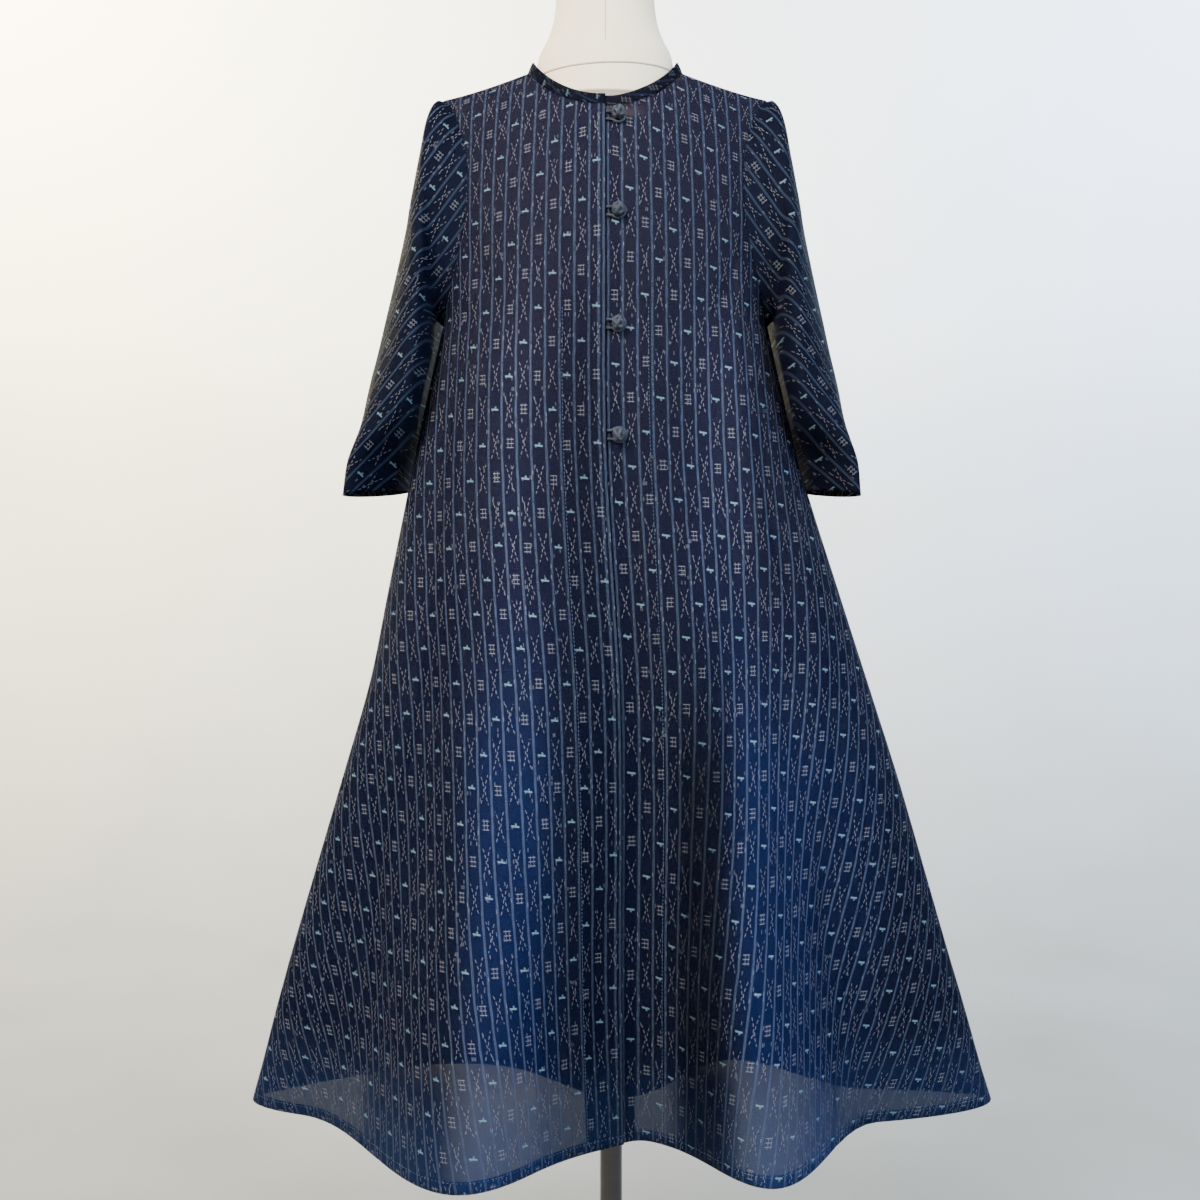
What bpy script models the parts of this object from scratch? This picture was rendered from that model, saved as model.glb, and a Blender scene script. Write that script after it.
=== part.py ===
"""Kimono summer coat on a limbless dress form, with its pole and base.

Metres, +Z up. The coat faces -Y and the wearer's right is -X. The origin is on the floor under the pole.
The coat's cloth is one smooth surface, coat_point(turn, level), and every panel is a patch of it.
"""

import math
from collections import namedtuple

import bmesh
import bpy
import numpy as np
from mathutils import Vector

# Cloth
CLOTH = 0.0012
FACING_CLOTH = 0.0010
BAND_CLOTH = 0.0016
POCKET_CLOTH = 0.0014
POCKET_GAP = 0.0009
LAYER_GAP = 0.0004
SEAM_TRIM = 0.00018
TURNED_SEAM_TRIM = 0.0008
LOOM_WIDTH = 0.365

# Heights of the coat
HEM_Z = 0.33
ARMPIT_Z = 1.265
TIP_Z = 1.533
RIDGE_Z = 1.600
YOKE_SCALE = 0.28
RIDGE_CURVE = 1.3
YOKE_HALF = 0.199

# Neckline
NECK_HALF = 0.090
NECK_FRONT_Z = 1.500
NECK_BACK_Z = 1.558
NECK_CURVE = 1.3
NECK_CENTRE_Y = -0.016
BAND_WIDTH = 0.0138
BAND_LEAN = 0.45
BAND_RIDGE_DROP = 0.002

# Front opening
OVERLAP = 0.033
FACING_WIDTH = 0.049
FACING_COLUMNS = 4
LAP_GAP = 0.0012
SINK = CLOTH + FACING_CLOTH + LAYER_GAP + LAP_GAP
SINK_FADE = (0.006, 0.050)
LAP_STEPS = (0.0165, 0.033, FACING_WIDTH)

# Fastenings
KNOT_RADIUS = 0.0082
KNOT_ACROSS = 0.0140
KNOT_HEIGHTS = (1.4865, 1.373, 1.2475, 1.1255)
KNOT_SEGMENTS = 12
KNOT_RINGS = 8
LOOP_CORD = 0.0015
LOOP_RADIUS = 0.0080
LOOP_START = 0.0010
LOOP_HALF = 0.0046
LOOP_OPENING = 140
LOOP_STEPS = 9
LOOP_SIDES = 6

# Pockets
POCKET_TOP_Z = 0.994
POCKET_BOTTOM_Z = 0.815
POCKET_DEPTH = 0.052
POCKET_ROUNDING = 1.5
POCKET_CORNER = 0.4
POCKET_SLANT = 0.3
POCKET_SEAM_STEP = 0.05
POCKET_ROWS = 10
POCKET_COLUMNS = 5

# Dress form and stand
FORM_BOTTOM_Z = 0.865
FORM_CLEARANCE = 0.0007
FORM_TIP = 0.176
FORM_SLOPE = 1.5
FORM_RIDGE_SHARE = 0.56
FORM_NECK_TOP_Z = 1.668
FORM_EDGE_SHARE = 0.94
FORM_SHOULDER_CURVE = 1.5
FORM_SIDES = 36
POLE_RADIUS = 0.0129
BODY_X = -0.007
BASE_RADIUS = 0.160
BASE_THICK = 0.014
BASE_EDGE = 0.003
BASE_SIDES = 40
POLE_SIDES = 24
BOSS_RADIUS = 0.024
BOSS_TOP_Z = 0.045
TOUCH = 0.0003

# One row for each section of the coat, from the hem up to the armpits. side_y is where the side seam lies.
Section = namedtuple("Section", "height half_width centre side_y front back")
COAT = (
    Section(0.330, 0.4555, 0.021, 0.090, 0.113, 0.045),
    Section(0.380, 0.4390, 0.020, 0.078, 0.117, 0.052),
    Section(0.450, 0.4180, 0.019, 0.064, 0.123, 0.063),
    Section(0.530, 0.3930, 0.018, 0.050, 0.128, 0.080),
    Section(0.650, 0.3560, 0.018, 0.035, 0.133, 0.098),
    Section(0.735, 0.3300, 0.018, 0.028, 0.135, 0.107),
    Section(0.850, 0.2940, 0.016, 0.020, 0.136, 0.112),
    Section(0.950, 0.2670, 0.010, 0.014, 0.134, 0.113),
    Section(1.090, 0.2300, 0.002, 0.008, 0.129, 0.110),
    Section(1.180, 0.2090, 0.000, 0.005, 0.125, 0.107),
    Section(1.265, 0.1900, 0.000, 0.005, 0.122, 0.105),
)

# One row for each large fold. across is its place as a share of the half width, and depth how far it stands
# out at the hem.
Fold = namedtuple("Fold", "face across spread depth top growth")
FOLDS = (
    Fold("front", -0.39, 0.45, 0.190, 1.12, 1.6),
    Fold("front", 0.34, 0.32, 0.172, 1.12, 1.6),
    Fold("front", 0.00, 0.22, 0.034, 0.90, 1.2),
    Fold("back", -0.42, 0.38, 0.090, 1.16, 1.6),
    Fold("back", -0.72, 0.33, 0.050, 0.95, 1.3),
    Fold("back", 0.34, 0.32, 0.105, 1.16, 1.6),
    Fold("back", 0.00, 0.28, -0.040, 0.95, 1.2),
)

# The seam between a front or back and its side piece: its distance along the cloth from the centre line.
SeamPlace = namedtuple("SeamPlace", "height right left back")
SIDE_PIECE_SEAM = (
    SeamPlace(0.330, LOOM_WIDTH, LOOM_WIDTH, LOOM_WIDTH),
    SeamPlace(0.420, 0.362, 0.362, 0.360),
    SeamPlace(0.530, 0.347, 0.352, 0.345),
    SeamPlace(0.650, 0.318, 0.338, 0.320),
    SeamPlace(0.780, 0.268, 0.315, 0.275),
    SeamPlace(0.930, 0.224, 0.288, 0.230),
    SeamPlace(1.000, 0.208, 0.268, 0.212),
    SeamPlace(1.090, 0.194, 0.228, 0.195),
    SeamPlace(1.180, 0.184, 0.196, 0.184),
    SeamPlace(1.265, 0.178, 0.180, 0.178),
)

# The armhole as seen from the front, from the underarm up to the shoulder tip.
Edge = namedtuple("Edge", "height across")
ARMHOLE = (
    Edge(1.2650, 0.1900),
    Edge(1.2730, 0.1868),
    Edge(1.2950, 0.1800),
    Edge(1.3300, 0.1700),
    Edge(1.3750, 0.1605),
    Edge(1.4200, 0.1575),
    Edge(1.4600, 0.1605),
    Edge(1.5000, 0.1720),
    Edge(1.5220, 0.1820),
    Edge(1.5330, 0.1900),
)
SEAM_TOP_ROW = 3

# One row for each ring of a sleeve below its armhole. Outer is the fold from the shoulder, inner the underarm.
# lean turns the front of the flattened ring in degrees, below zero towards the body and above it away.
# tuck draws its inner back in, behind the coat's side.
Ring = namedtuple("Ring", "outer_x outer_z inner_x inner_z y half_y lean tuck")
SLEEVE = (
    Ring(0.2010, 1.5240, 0.1980, 1.2720, 0.000, 0.062, 0, 0.000),
    Ring(0.2175, 1.4620, 0.1990, 1.2500, -0.003, 0.072, -8, 0.010),
    Ring(0.2335, 1.3850, 0.2020, 1.2240, -0.005, 0.077, -20, 0.022),
    Ring(0.2500, 1.3180, 0.2070, 1.1960, -0.006, 0.079, -28, 0.032),
    Ring(0.2660, 1.2500, 0.2135, 1.1680, -0.005, 0.078, -28, 0.034),
    Ring(0.2785, 1.1800, 0.2220, 1.1390, -0.004, 0.075, -8, 0.028),
    Ring(0.2905, 1.1100, 0.2300, 1.1080, -0.002, 0.071, 42, 0.000),
    Ring(0.2980, 1.0636, 0.2375, 1.0765, 0.000, 0.068, 52, 0.000),
)
LEFT_SLEEVE_NARROWER = 0.008
TUCK_CURVE = 1.5
SLEEVE_STATIONS = (0, 0.35, 0.7, 1, 1.5, 2, 3, 4, 5, 5.5, 6, 7, 8)

# The form's torso, from its lower edge up to the armpits, then its neck, each ring an oval.
FORM = (
    Section(0.865, 0.160, 0.000, 0.000, 0.100, 0.108),
    Section(0.930, 0.163, 0.000, 0.000, 0.106, 0.108),
    Section(1.000, 0.147, 0.000, 0.000, 0.099, 0.094),
    Section(1.090, 0.120, 0.000, 0.000, 0.084, 0.078),
    Section(1.180, 0.134, 0.000, 0.002, 0.100, 0.086),
    Section(1.265, 0.150, 0.000, 0.005, 0.112, 0.096),
)
Neck = namedtuple("Neck", "height half_x half_y")
FORM_NECK = (
    Neck(1.520, 0.078, 0.0520),
    Neck(1.560, 0.079, 0.0540),
    Neck(1.577, 0.076, 0.0530),
    Neck(1.592, 0.068, 0.0520),
    Neck(1.612, 0.061, 0.0510),
    Neck(1.636, 0.0575, 0.0505),
    Neck(1.660, 0.0565, 0.0500),
    Neck(FORM_NECK_TOP_Z, 0.053, 0.0465),
)
# Heights of the torso's rings up to the armpits, then how far its rings above them are lifted, in degrees
FORM_LEVELS = (FORM_BOTTOM_Z, 0.87, 0.89, 0.93, 0.97, 1.01, 1.05, 1.09, 1.13, 1.17, 1.21, ARMPIT_Z)
FORM_LIFTS = (10, 20, 30, 40, 50, 60, 69, 77, 83, 87.5)

# Heights of the panels' rows of points, and how many columns and rows their patches have
LEVELS = (HEM_Z, 0.37, 0.42, 0.47, 0.53, 0.59, 0.65, 0.71, 0.765, POCKET_BOTTOM_Z,
          0.86, 0.905, 0.95, POCKET_TOP_Z, 1.05, 1.105, 1.16, 1.2125, ARMPIT_Z)
SIDE_PATCH_ROW = 16
YOKE_ROWS = 10
SEAM_TOP_STEP = 2
WIDE_COLUMNS = 10
SIDE_COLUMNS = 7
NECK_COLUMN = 8
ARMHOLE_PULL = 4
RING_SAMPLES = 361
RIDGE_LEVEL = ARMPIT_Z + YOKE_SCALE * math.pi / 2
QUARTER = math.pi / 2


def ease(share):
    share = min(max(share, 0.0), 1.0)
    return share * share * (3 - 2 * share)


def smooth(rows, column, height):
    """The value of a table's column at a height, on a smooth curve through its rows."""
    heights = [row.height for row in rows]
    values = [getattr(row, column) for row in rows]
    height = min(max(height, heights[0]), heights[-1])
    last = len(rows) - 2
    index = min(max(int(np.searchsorted(heights, height)) - 1, 0), last)

    def slope(at):
        before, after = max(at - 1, 0), min(at + 1, last + 1)
        return (values[after] - values[before]) / (heights[after] - heights[before])

    span = heights[index + 1] - heights[index]
    t = (height - heights[index]) / span
    start, end = values[index], values[index + 1]
    return (
        (2 * t**3 - 3 * t**2 + 1) * start
        + (t**3 - 2 * t**2 + t) * span * slope(index)
        + (3 * t**2 - 2 * t**3) * end
        + (t**3 - t**2) * span * slope(index + 1)
    )


def fold_depth(face, across, height):
    total = 0.0
    for fold in FOLDS:
        away = abs(across - fold.across) / fold.spread
        if fold.face == face and away < 1 and height < fold.top:
            grown = ((fold.top - height) / (fold.top - HEM_Z)) ** fold.growth
            total += fold.depth * grown * math.cos(away * QUARTER) ** 2
    return total


def ridge_height(across):
    """Height of the shoulder line, drawn on as a ridge up to the middle of the neck."""
    share = max(0.0, 1 - abs(across) / ARMHOLE[-1].across)
    return TIP_Z + (RIDGE_Z - TIP_Z) * share**RIDGE_CURVE


def yoke_half(lift):
    """Half width of the cloth above the armpits, a little wider at the shoulders than the armhole's tip."""
    return COAT[-1].half_width + (YOKE_HALF - COAT[-1].half_width) * math.sin(lift) ** 2


def lift_of(across, height):
    """The lift of a place above the armpits, from where it shows from the front."""
    rise = (height - ARMPIT_Z) / (ridge_height(across) - ARMPIT_Z)
    return math.asin(min(max(rise, 0.0), 1.0))


def coat_point(turn, level):
    """A point in the middle of the cloth.

    turn is the angle round the body from the centre front, positive to the wearer's left. level is the
    height up to the armpits, and above them it runs on until the front and back meet on the shoulder line.
    """
    lift = max(0.0, level - ARMPIT_Z) / YOKE_SCALE
    height = min(level, ARMPIT_Z)
    across = math.sin(turn)
    half = yoke_half(lift) if lift > 0 else smooth(COAT, "half_width", height)
    x = smooth(COAT, "centre", height) + half * across
    y = smooth(COAT, "side_y", height)
    facing = math.cos(turn)
    if facing >= 0:
        y -= (smooth(COAT, "front", height) * facing + fold_depth("front", across, height)) * math.cos(lift)
    else:
        y += (smooth(COAT, "back", height) * -facing + fold_depth("back", across, height)) * math.cos(lift)
    z = height
    if lift > 0:
        z = ARMPIT_Z + math.sin(lift) * (ridge_height(x) - ARMPIT_Z)
    return Vector((x, y, z))


def coat_normal(turn, level, step=0.004):
    around = coat_point(turn + step, level) - coat_point(turn - step, level)
    upward = coat_point(turn, level + step) - coat_point(turn, level - step)
    return around.cross(upward).normalized()


def girth(level):
    """Angles round the body at a level and the distance along the cloth to each from the centre front."""
    turns = np.linspace(-math.pi, math.pi, RING_SAMPLES)
    points = np.array([coat_point(turn, level) for turn in turns])
    steps = np.linalg.norm(np.diff(points, axis=0), axis=1)
    along = np.concatenate([[0.0], np.cumsum(steps)])
    return turns, along - np.interp(0.0, turns, along)


def turns_at(level, distances, side, from_back=False):
    """The angles at some distances along the cloth from the centre front or the centre back, on one side."""
    turns, along = girth(level)
    wanted = side * np.array(distances)
    if from_back:
        wanted = (along[-1] if side > 0 else along[0]) - wanted
    return list(np.interp(wanted, along, turns))


def seam_along(level, side, back):
    column = "back" if back else "left" if side > 0 else "right"
    return smooth(SIDE_PIECE_SEAM, column, level)


def seam_turn(level, side, back):
    return turns_at(level, [seam_along(level, side, back)], side, back)[0]


def catmull(rows, place):
    """A point on the smooth curve through rows of numbers, at a row number that may be a fraction."""
    rows = np.asarray(rows, float)
    last = len(rows) - 1
    index = min(int(place), last - 1)
    t = place - index
    before = rows[index - 1] if index > 0 else 2 * rows[0] - rows[1]
    after = rows[index + 2] if index + 2 <= last else 2 * rows[last] - rows[last - 1]
    start, end = rows[index], rows[index + 1]
    return 0.5 * (
        2 * start
        + (end - before) * t
        + (2 * before - 5 * start + 4 * end - after) * t**2
        + (3 * start - before - 3 * end + after) * t**3
    )


def on_cloth(across, height, back=False):
    """Turn and level of a place above the armpits on the wearer's left, given as seen from the front."""
    lift = lift_of(across, height)
    turn = math.asin(min(across / yoke_half(lift), 1.0))
    return (math.pi - turn if back else turn), ARMPIT_Z + YOKE_SCALE * lift


def armhole_places(first, last, steps, back, samples=60):
    """Places on the armhole between two rows of its table, at even distances along the cloth."""
    rows = [(row.across, row.height) for row in ARMHOLE]
    curve = [on_cloth(*catmull(rows, place), back) for place in np.linspace(first, last, samples)]
    points = np.array([coat_point(*place) for place in curve])
    along = np.concatenate([[0.0], np.cumsum(np.linalg.norm(np.diff(points, axis=0), axis=1))])
    wanted = np.linspace(0, along[-1], steps + 1)
    return list(zip(*(np.interp(wanted, along, [place[k] for place in curve]) for k in (0, 1))))


def neck_place(angle):
    """Turn and level of the neckline at an angle round the neck from the centre front."""
    across = NECK_HALF * math.sin(angle)
    side_z = ridge_height(NECK_HALF)
    drop = NECK_FRONT_Z if math.cos(angle) >= 0 else NECK_BACK_Z
    height = side_z - (side_z - drop) * abs(math.cos(angle)) ** NECK_CURVE
    turn, level = on_cloth(abs(across), height, math.cos(angle) < 0)
    return (turn if across >= 0 else -turn), level


def between(start, end, steps):
    """Even steps from one place to another, both included."""
    return [tuple(a + (b - a) * k / steps for a, b in zip(start, end)) for k in range(steps + 1)]


def blended(bottom, top, left, right, pull=1):
    """Places inside a patch, blended from its edges. A greater pull keeps its sides' curves near the sides."""
    bottom, top, left, right = (np.array(edge, float) for edge in (bottom, top, left, right))
    steps = np.linalg.norm(np.diff(bottom, axis=0), axis=1)
    columns = np.concatenate([[0.0], np.cumsum(steps)]) / steps.sum()
    steps = np.linalg.norm(np.diff(right, axis=0), axis=1)
    rows = np.concatenate([[0.0], np.cumsum(steps)]) / steps.sum()
    grid = []
    for r, at_left, at_right in zip(rows, left, right):
        line = []
        for u, below, above in zip(columns, bottom, top):
            at_start = at_left - (1 - r) * bottom[0] - r * top[0]
            at_end = at_right - (1 - r) * bottom[-1] - r * top[-1]
            line.append((1 - r) * below + r * above + (1 - u) ** pull * at_start + u**pull * at_end)
        grid.append(line)
    return grid


def seen(place):
    """A place above the armpits as its distance across and its lift."""
    lift = (place[1] - ARMPIT_Z) / YOKE_SCALE
    return abs(math.sin(place[0])) * yoke_half(lift) * (1 if place[0] >= 0 else -1), lift


def unseen(place, back):
    across, lift = place
    turn = math.asin(min(max(across / yoke_half(lift), -1.0), 1.0))
    return (math.pi - turn if back else turn), ARMPIT_Z + YOKE_SCALE * lift


def wide_offsets(lapped):
    laps = (-OVERLAP, -OVERLAP / 2) if lapped else ()
    return [*laps, 0.0, *LAP_STEPS]


def neck_angles(lapped):
    """Angles round the neck of a panel's neckline points, from the centre to the shoulder."""
    angles = [math.asin(offset / NECK_HALF) for offset in wide_offsets(lapped)]
    steps = NECK_COLUMN - len(LAP_STEPS)
    return angles + list(np.linspace(angles[-1], QUARTER, steps + 1)[1:])


def wide_places(side, back, lapped=False):
    """Places of a front or a back, rows from the hem to the shoulder, columns from the centre to the seam."""
    offsets = wide_offsets(lapped)
    rows = []
    for level in LEVELS:
        seam = seam_along(level, side, back)
        distances = offsets + list(np.linspace(offsets[-1], seam, WIDE_COLUMNS + 1)[1:])
        rows.append([(side * turn, level) for turn in turns_at(level, distances, side, back)])
    bottom = rows[-1]
    hole = armhole_places(SEAM_TOP_ROW, len(ARMHOLE) - 1, YOKE_ROWS - SEAM_TOP_STEP, back)
    right = between(bottom[-1], hole[0], SEAM_TOP_STEP) + hole[1:]
    neck = [neck_place(math.pi - angle if back else angle) for angle in neck_angles(lapped)]
    top = [seen(place) for place in neck]
    top += between(top[-1], seen(right[-1]), len(bottom) - len(neck))[1:]
    left = between(seen(bottom[0]), top[0], YOKE_ROWS)
    bottom, right = ([seen(place) for place in edge] for edge in (bottom, right))
    patch = blended(bottom, top, left, right, ARMHOLE_PULL)
    rows += [[unseen(place, back) for place in line] for line in patch[1:]]
    return [[(side * turn, level) for turn, level in row] for row in rows]


def side_places(side, back):
    """Places of a side piece, columns from its long seam to the side seam, up to the lower armhole."""
    rows = []
    for level in LEVELS[:SIDE_PATCH_ROW + 1]:
        start = side * seam_turn(level, side, back)
        rows.append([(turn, level) for turn in np.linspace(start, QUARTER, SIDE_COLUMNS)])
    hole = armhole_places(SEAM_TOP_ROW, 0, SIDE_COLUMNS - 1, back)
    left = [(side * seam_turn(level, side, back), level) for level in LEVELS[SIDE_PATCH_ROW:]]
    left += between(left[-1], hole[0], SEAM_TOP_STEP)[1:]
    right = between(rows[-1][-1], (QUARTER, ARMPIT_Z), len(left) - 1)
    rows += blended(rows[-1], hole, left, right)[1:]
    return [[(side * turn, level) for turn, level in row] for row in rows]


def lap_inset(turn, level):
    """How far the left front and its band lie under the right front."""
    beyond = smooth(COAT, "half_width", min(level, ARMPIT_Z)) * math.sin(turn)
    return SINK * (1 - ease((beyond - SINK_FADE[0]) / (SINK_FADE[1] - SINK_FADE[0])))


def points_of(places, inset=None):
    """The middle of the cloth at some places, moved in by inset(turn, level) if given, and its normals."""
    grid = [[coat_point(*place) for place in row] for row in places]
    normals = [[coat_normal(*place) for place in row] for row in places]
    if inset:
        for row, line, ways in zip(places, grid, normals):
            line[:] = [point - way * inset(*place) for place, point, way in zip(row, line, ways)]
    return grid, normals


def trimmed(grid, left=0.0, right=0.0, bottom=0.0, top=0.0):
    """The grid with its edges drawn in, so that sewn pieces don't touch."""
    grid = [[Vector(point) for point in row] for row in grid]

    def draw_in(line, amount):
        if amount:
            line[0] = line[0] + (line[1] - line[0]).normalized() * amount
        return line

    for row in grid:
        row[:] = draw_in(row, left)
        row[:] = draw_in(row[::-1], right)[::-1]
    columns = [draw_in(list(column), bottom) for column in zip(*grid)]
    columns = [draw_in(column[::-1], top)[::-1] for column in columns]
    return [list(row) for row in zip(*columns)]


def off_edge(edge, normals, towards, amount):
    """The points of a cut edge moved on past it in the cloth's own plane."""
    moved = []
    for k, (point, normal) in enumerate(zip(edge, normals)):
        before, after = edge[k - 1] if k else edge[0], edge[min(k + 1, len(edge) - 1)]
        away = normal.cross(after - before).normalized()
        if away.dot(towards[k]) < 0:
            away = -away
        moved.append(point + away * amount)
    return moved


def grid_point(grid, row, column):
    """A point on a grid at a row and column that may be fractions, and the grid's normal there."""
    r, c = min(int(row), len(grid) - 2), min(int(column), len(grid[0]) - 2)
    low = grid[r][c].lerp(grid[r][c + 1], column - c)
    high = grid[r + 1][c].lerp(grid[r + 1][c + 1], column - c)
    normal = (grid[r + 1][c + 1] - grid[r][c]).cross(grid[r + 1][c] - grid[r][c + 1]).normalized()
    return low.lerp(high, row - r), normal


def collection(name):
    made = bpy.data.collections.new(name)
    bpy.context.scene.collection.children.link(made)
    return made


def material(name, colour, roughness, metallic=0.0):
    made = bpy.data.materials.new(name)
    made.use_nodes = True
    surface = made.node_tree.nodes["Principled BSDF"]
    surface.inputs["Base Color"].default_value = (*colour, 1.0)
    surface.inputs["Roughness"].default_value = roughness
    surface.inputs["Metallic"].default_value = metallic
    return made


def add_object(name, data, finish):
    made = bpy.data.objects.new(name, data)
    COAT_PARTS.objects.link(made)
    data.materials.append(finish)
    return made


def take_in(made, name, finish):
    """Name an object that an operator made and move it to the coat's collection."""
    made.name = name
    made.data.name = name
    for group in made.users_collection:
        group.objects.unlink(made)
    COAT_PARTS.objects.link(made)
    made.data.materials.append(finish)


def sheet(name, grid, thick, finish, closed=False):
    """A cloth wall: an open surface through rows of points, thickened evenly about its middle."""
    mesh = bmesh.new()
    rows = [[mesh.verts.new(point) for point in row] for row in grid]
    count = len(grid[0])
    for lower, upper in zip(rows, rows[1:]):
        for k in range(count if closed else count - 1):
            following = (k + 1) % count
            mesh.faces.new((lower[k], lower[following], upper[following], upper[k]))
    data = bpy.data.meshes.new(name)
    mesh.to_mesh(data)
    mesh.free()
    data.shade_smooth()
    made = add_object(name, data, finish)
    wall = made.modifiers.new("Cloth thickness", "SOLIDIFY")
    wall.thickness = thick
    wall.offset = 0.0
    return made


def mirrored(grid, side):
    """Columns in the order that makes the faces point outwards on either side of the body."""
    return grid if side > 0 else [row[::-1] for row in grid]


def panel(name, places, thick, finish, inset=None, left=SEAM_TRIM, right=SEAM_TRIM, bottom=0.0, top=SEAM_TRIM):
    """A cloth wall on the coat's surface. Its edges stand square to the surface, so seams close evenly."""
    grid, normals = points_of(places, inset)
    grid = trimmed(grid, left, right, bottom, top)
    mesh = bmesh.new()
    layers = []
    for way in (0.5, -0.5):
        lines = [zip(*rows) for rows in zip(grid, normals)]
        out = way * thick
        layers.append([[mesh.verts.new(point + normal * out) for point, normal in line] for line in lines])
    outer, inner = layers
    rows, columns = len(grid), len(grid[0])
    for r in range(rows - 1):
        for c in range(columns - 1):
            for layer in layers:
                mesh.faces.new((layer[r][c], layer[r][c + 1], layer[r + 1][c + 1], layer[r + 1][c]))
    border = [(0, c) for c in range(columns)] + [(r, columns - 1) for r in range(1, rows)]
    border += [(rows - 1, c) for c in range(columns - 2, -1, -1)] + [(r, 0) for r in range(rows - 2, 0, -1)]
    for (r, c), (next_r, next_c) in zip(border, border[1:] + border[:1]):
        mesh.faces.new((outer[r][c], outer[next_r][next_c], inner[next_r][next_c], inner[r][c]))
    bmesh.ops.recalc_face_normals(mesh, faces=mesh.faces)
    data = bpy.data.meshes.new(name)
    mesh.to_mesh(data)
    mesh.free()
    data.shade_smooth()
    add_object(name, data, finish)
    return grid


def make_panels(finish):
    for side, name in ((-1, "right"), (1, "left")):
        lapped = side > 0
        places = wide_places(side, False, lapped)
        inset = lap_inset if lapped else None
        PANELS[f"front_{name}"] = panel(f"front_{name}", places, CLOTH, finish, inset, left=0.0)
        panel(f"front_side_{name}", side_places(side, False), CLOTH, finish)
        panel(f"back_{name}", wide_places(side, True), CLOTH, finish)
        panel(f"back_side_{name}", side_places(side, True), CLOTH, finish)


def right_facing_depth(turn, level):
    return (CLOTH + FACING_CLOTH) / 2 + LAYER_GAP


def left_facing_depth(turn, level):
    return right_facing_depth(turn, level) + lap_inset(turn, level)


def make_facings(finish):
    """Strips behind both front edges, from the turned hem up to the neckline."""
    for side, name, depth in ((-1, "right", right_facing_depth), (1, "left", left_facing_depth)):
        places = [row[:FACING_COLUMNS] for row in wide_places(side, False, side > 0)]
        panel(f"facing_{name}", places, FACING_CLOTH, finish, depth, LAYER_GAP, 0.0, LAYER_GAP, 4 * LAYER_GAP)


def make_pockets(finish):
    """Flat bags behind the fronts, hung from the seam of the side piece, with a rounded lower corner."""
    behind = (CLOTH + POCKET_CLOTH) / 2 + POCKET_GAP
    first, last = LEVELS.index(POCKET_BOTTOM_Z), LEVELS.index(POCKET_TOP_Z)
    for side, name in ((-1, "right"), (1, "left")):
        front = PANELS[f"front_{name}"]
        seam_column = len(front[0]) - 1
        grid = []
        for row in np.linspace(first, last, POCKET_ROWS):
            across = (front[int(row)][-1] - front[int(row)][-2]).length
            grown = math.sin(QUARTER * min(1.0, (row - first) / POCKET_ROUNDING))
            rounding = POCKET_CORNER + (1 - POCKET_CORNER) * grown
            slant = 1 - POCKET_SLANT * max(0.0, (row - last + POCKET_ROUNDING) / POCKET_ROUNDING)
            reach = POCKET_DEPTH / across * rounding * slant
            line = []
            for column in np.linspace(seam_column - reach, seam_column - POCKET_SEAM_STEP, POCKET_COLUMNS):
                point, normal = grid_point(front, row, column)
                line.append(point - normal * side * behind)
            grid.append(line)
        sheet(f"pocket_{name}", mirrored(grid, side), POCKET_CLOTH, finish)


def armhole_loop(side):
    """Places of the armhole from the shoulder tip down its front and up its back."""
    down = []
    for back in (False, True):
        upper = armhole_places(SEAM_TOP_ROW, len(ARMHOLE) - 1, YOKE_ROWS - SEAM_TOP_STEP, back)
        lower = armhole_places(SEAM_TOP_ROW, 0, SIDE_COLUMNS - 1, back)
        down.append(upper[::-1] + lower[1:])
    loop = down[0] + down[1][-2:0:-1]
    return [(side * turn, level) for turn, level in loop]


def sleeve_ring(number, side, count):
    ring = SLEEVE[number]
    points = []
    outer_x = ring.outer_x - (LEFT_SLEEVE_NARROWER * (number / (len(SLEEVE) - 1)) ** 2 if side > 0 else 0.0)
    for k in range(count):
        angle = 2 * math.pi * k / count
        share = (1 + math.cos(angle - math.radians(ring.lean))) / 2
        tucked = ring.tuck * max(0.0, -math.sin(angle)) ** TUCK_CURVE * (1 - math.cos(angle)) / 2
        x = ring.inner_x + (outer_x - ring.inner_x) * share - tucked
        y = ring.y - ring.half_y * math.sin(angle)
        z = ring.inner_z + (ring.outer_z - ring.inner_z) * share
        points.append(Vector((side * x, y, z)))
    return points


def make_sleeves(finish):
    for side, name in ((-1, "right"), (1, "left")):
        loop = armhole_loop(side)
        edge = [coat_point(*place) for place in loop]
        rings = [sleeve_ring(number, side, len(loop)) for number in range(len(SLEEVE))]
        towards = [after - before for before, after in zip(edge, rings[0])]
        closed = edge[-1:] + edge + edge[:1]
        normals = [coat_normal(*place) for place in loop[-1:] + loop + loop[:1]]
        start = off_edge(closed, normals, towards[-1:] + towards + towards[:1], TURNED_SEAM_TRIM)[1:-1]
        columns = [[Vector(catmull(strand, at)) for at in SLEEVE_STATIONS] for strand in zip(start, *rings)]
        grid = [list(row) for row in zip(*columns)]
        sheet(f"sleeve_{name}", mirrored(grid, side), CLOTH, finish, closed=True)


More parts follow.
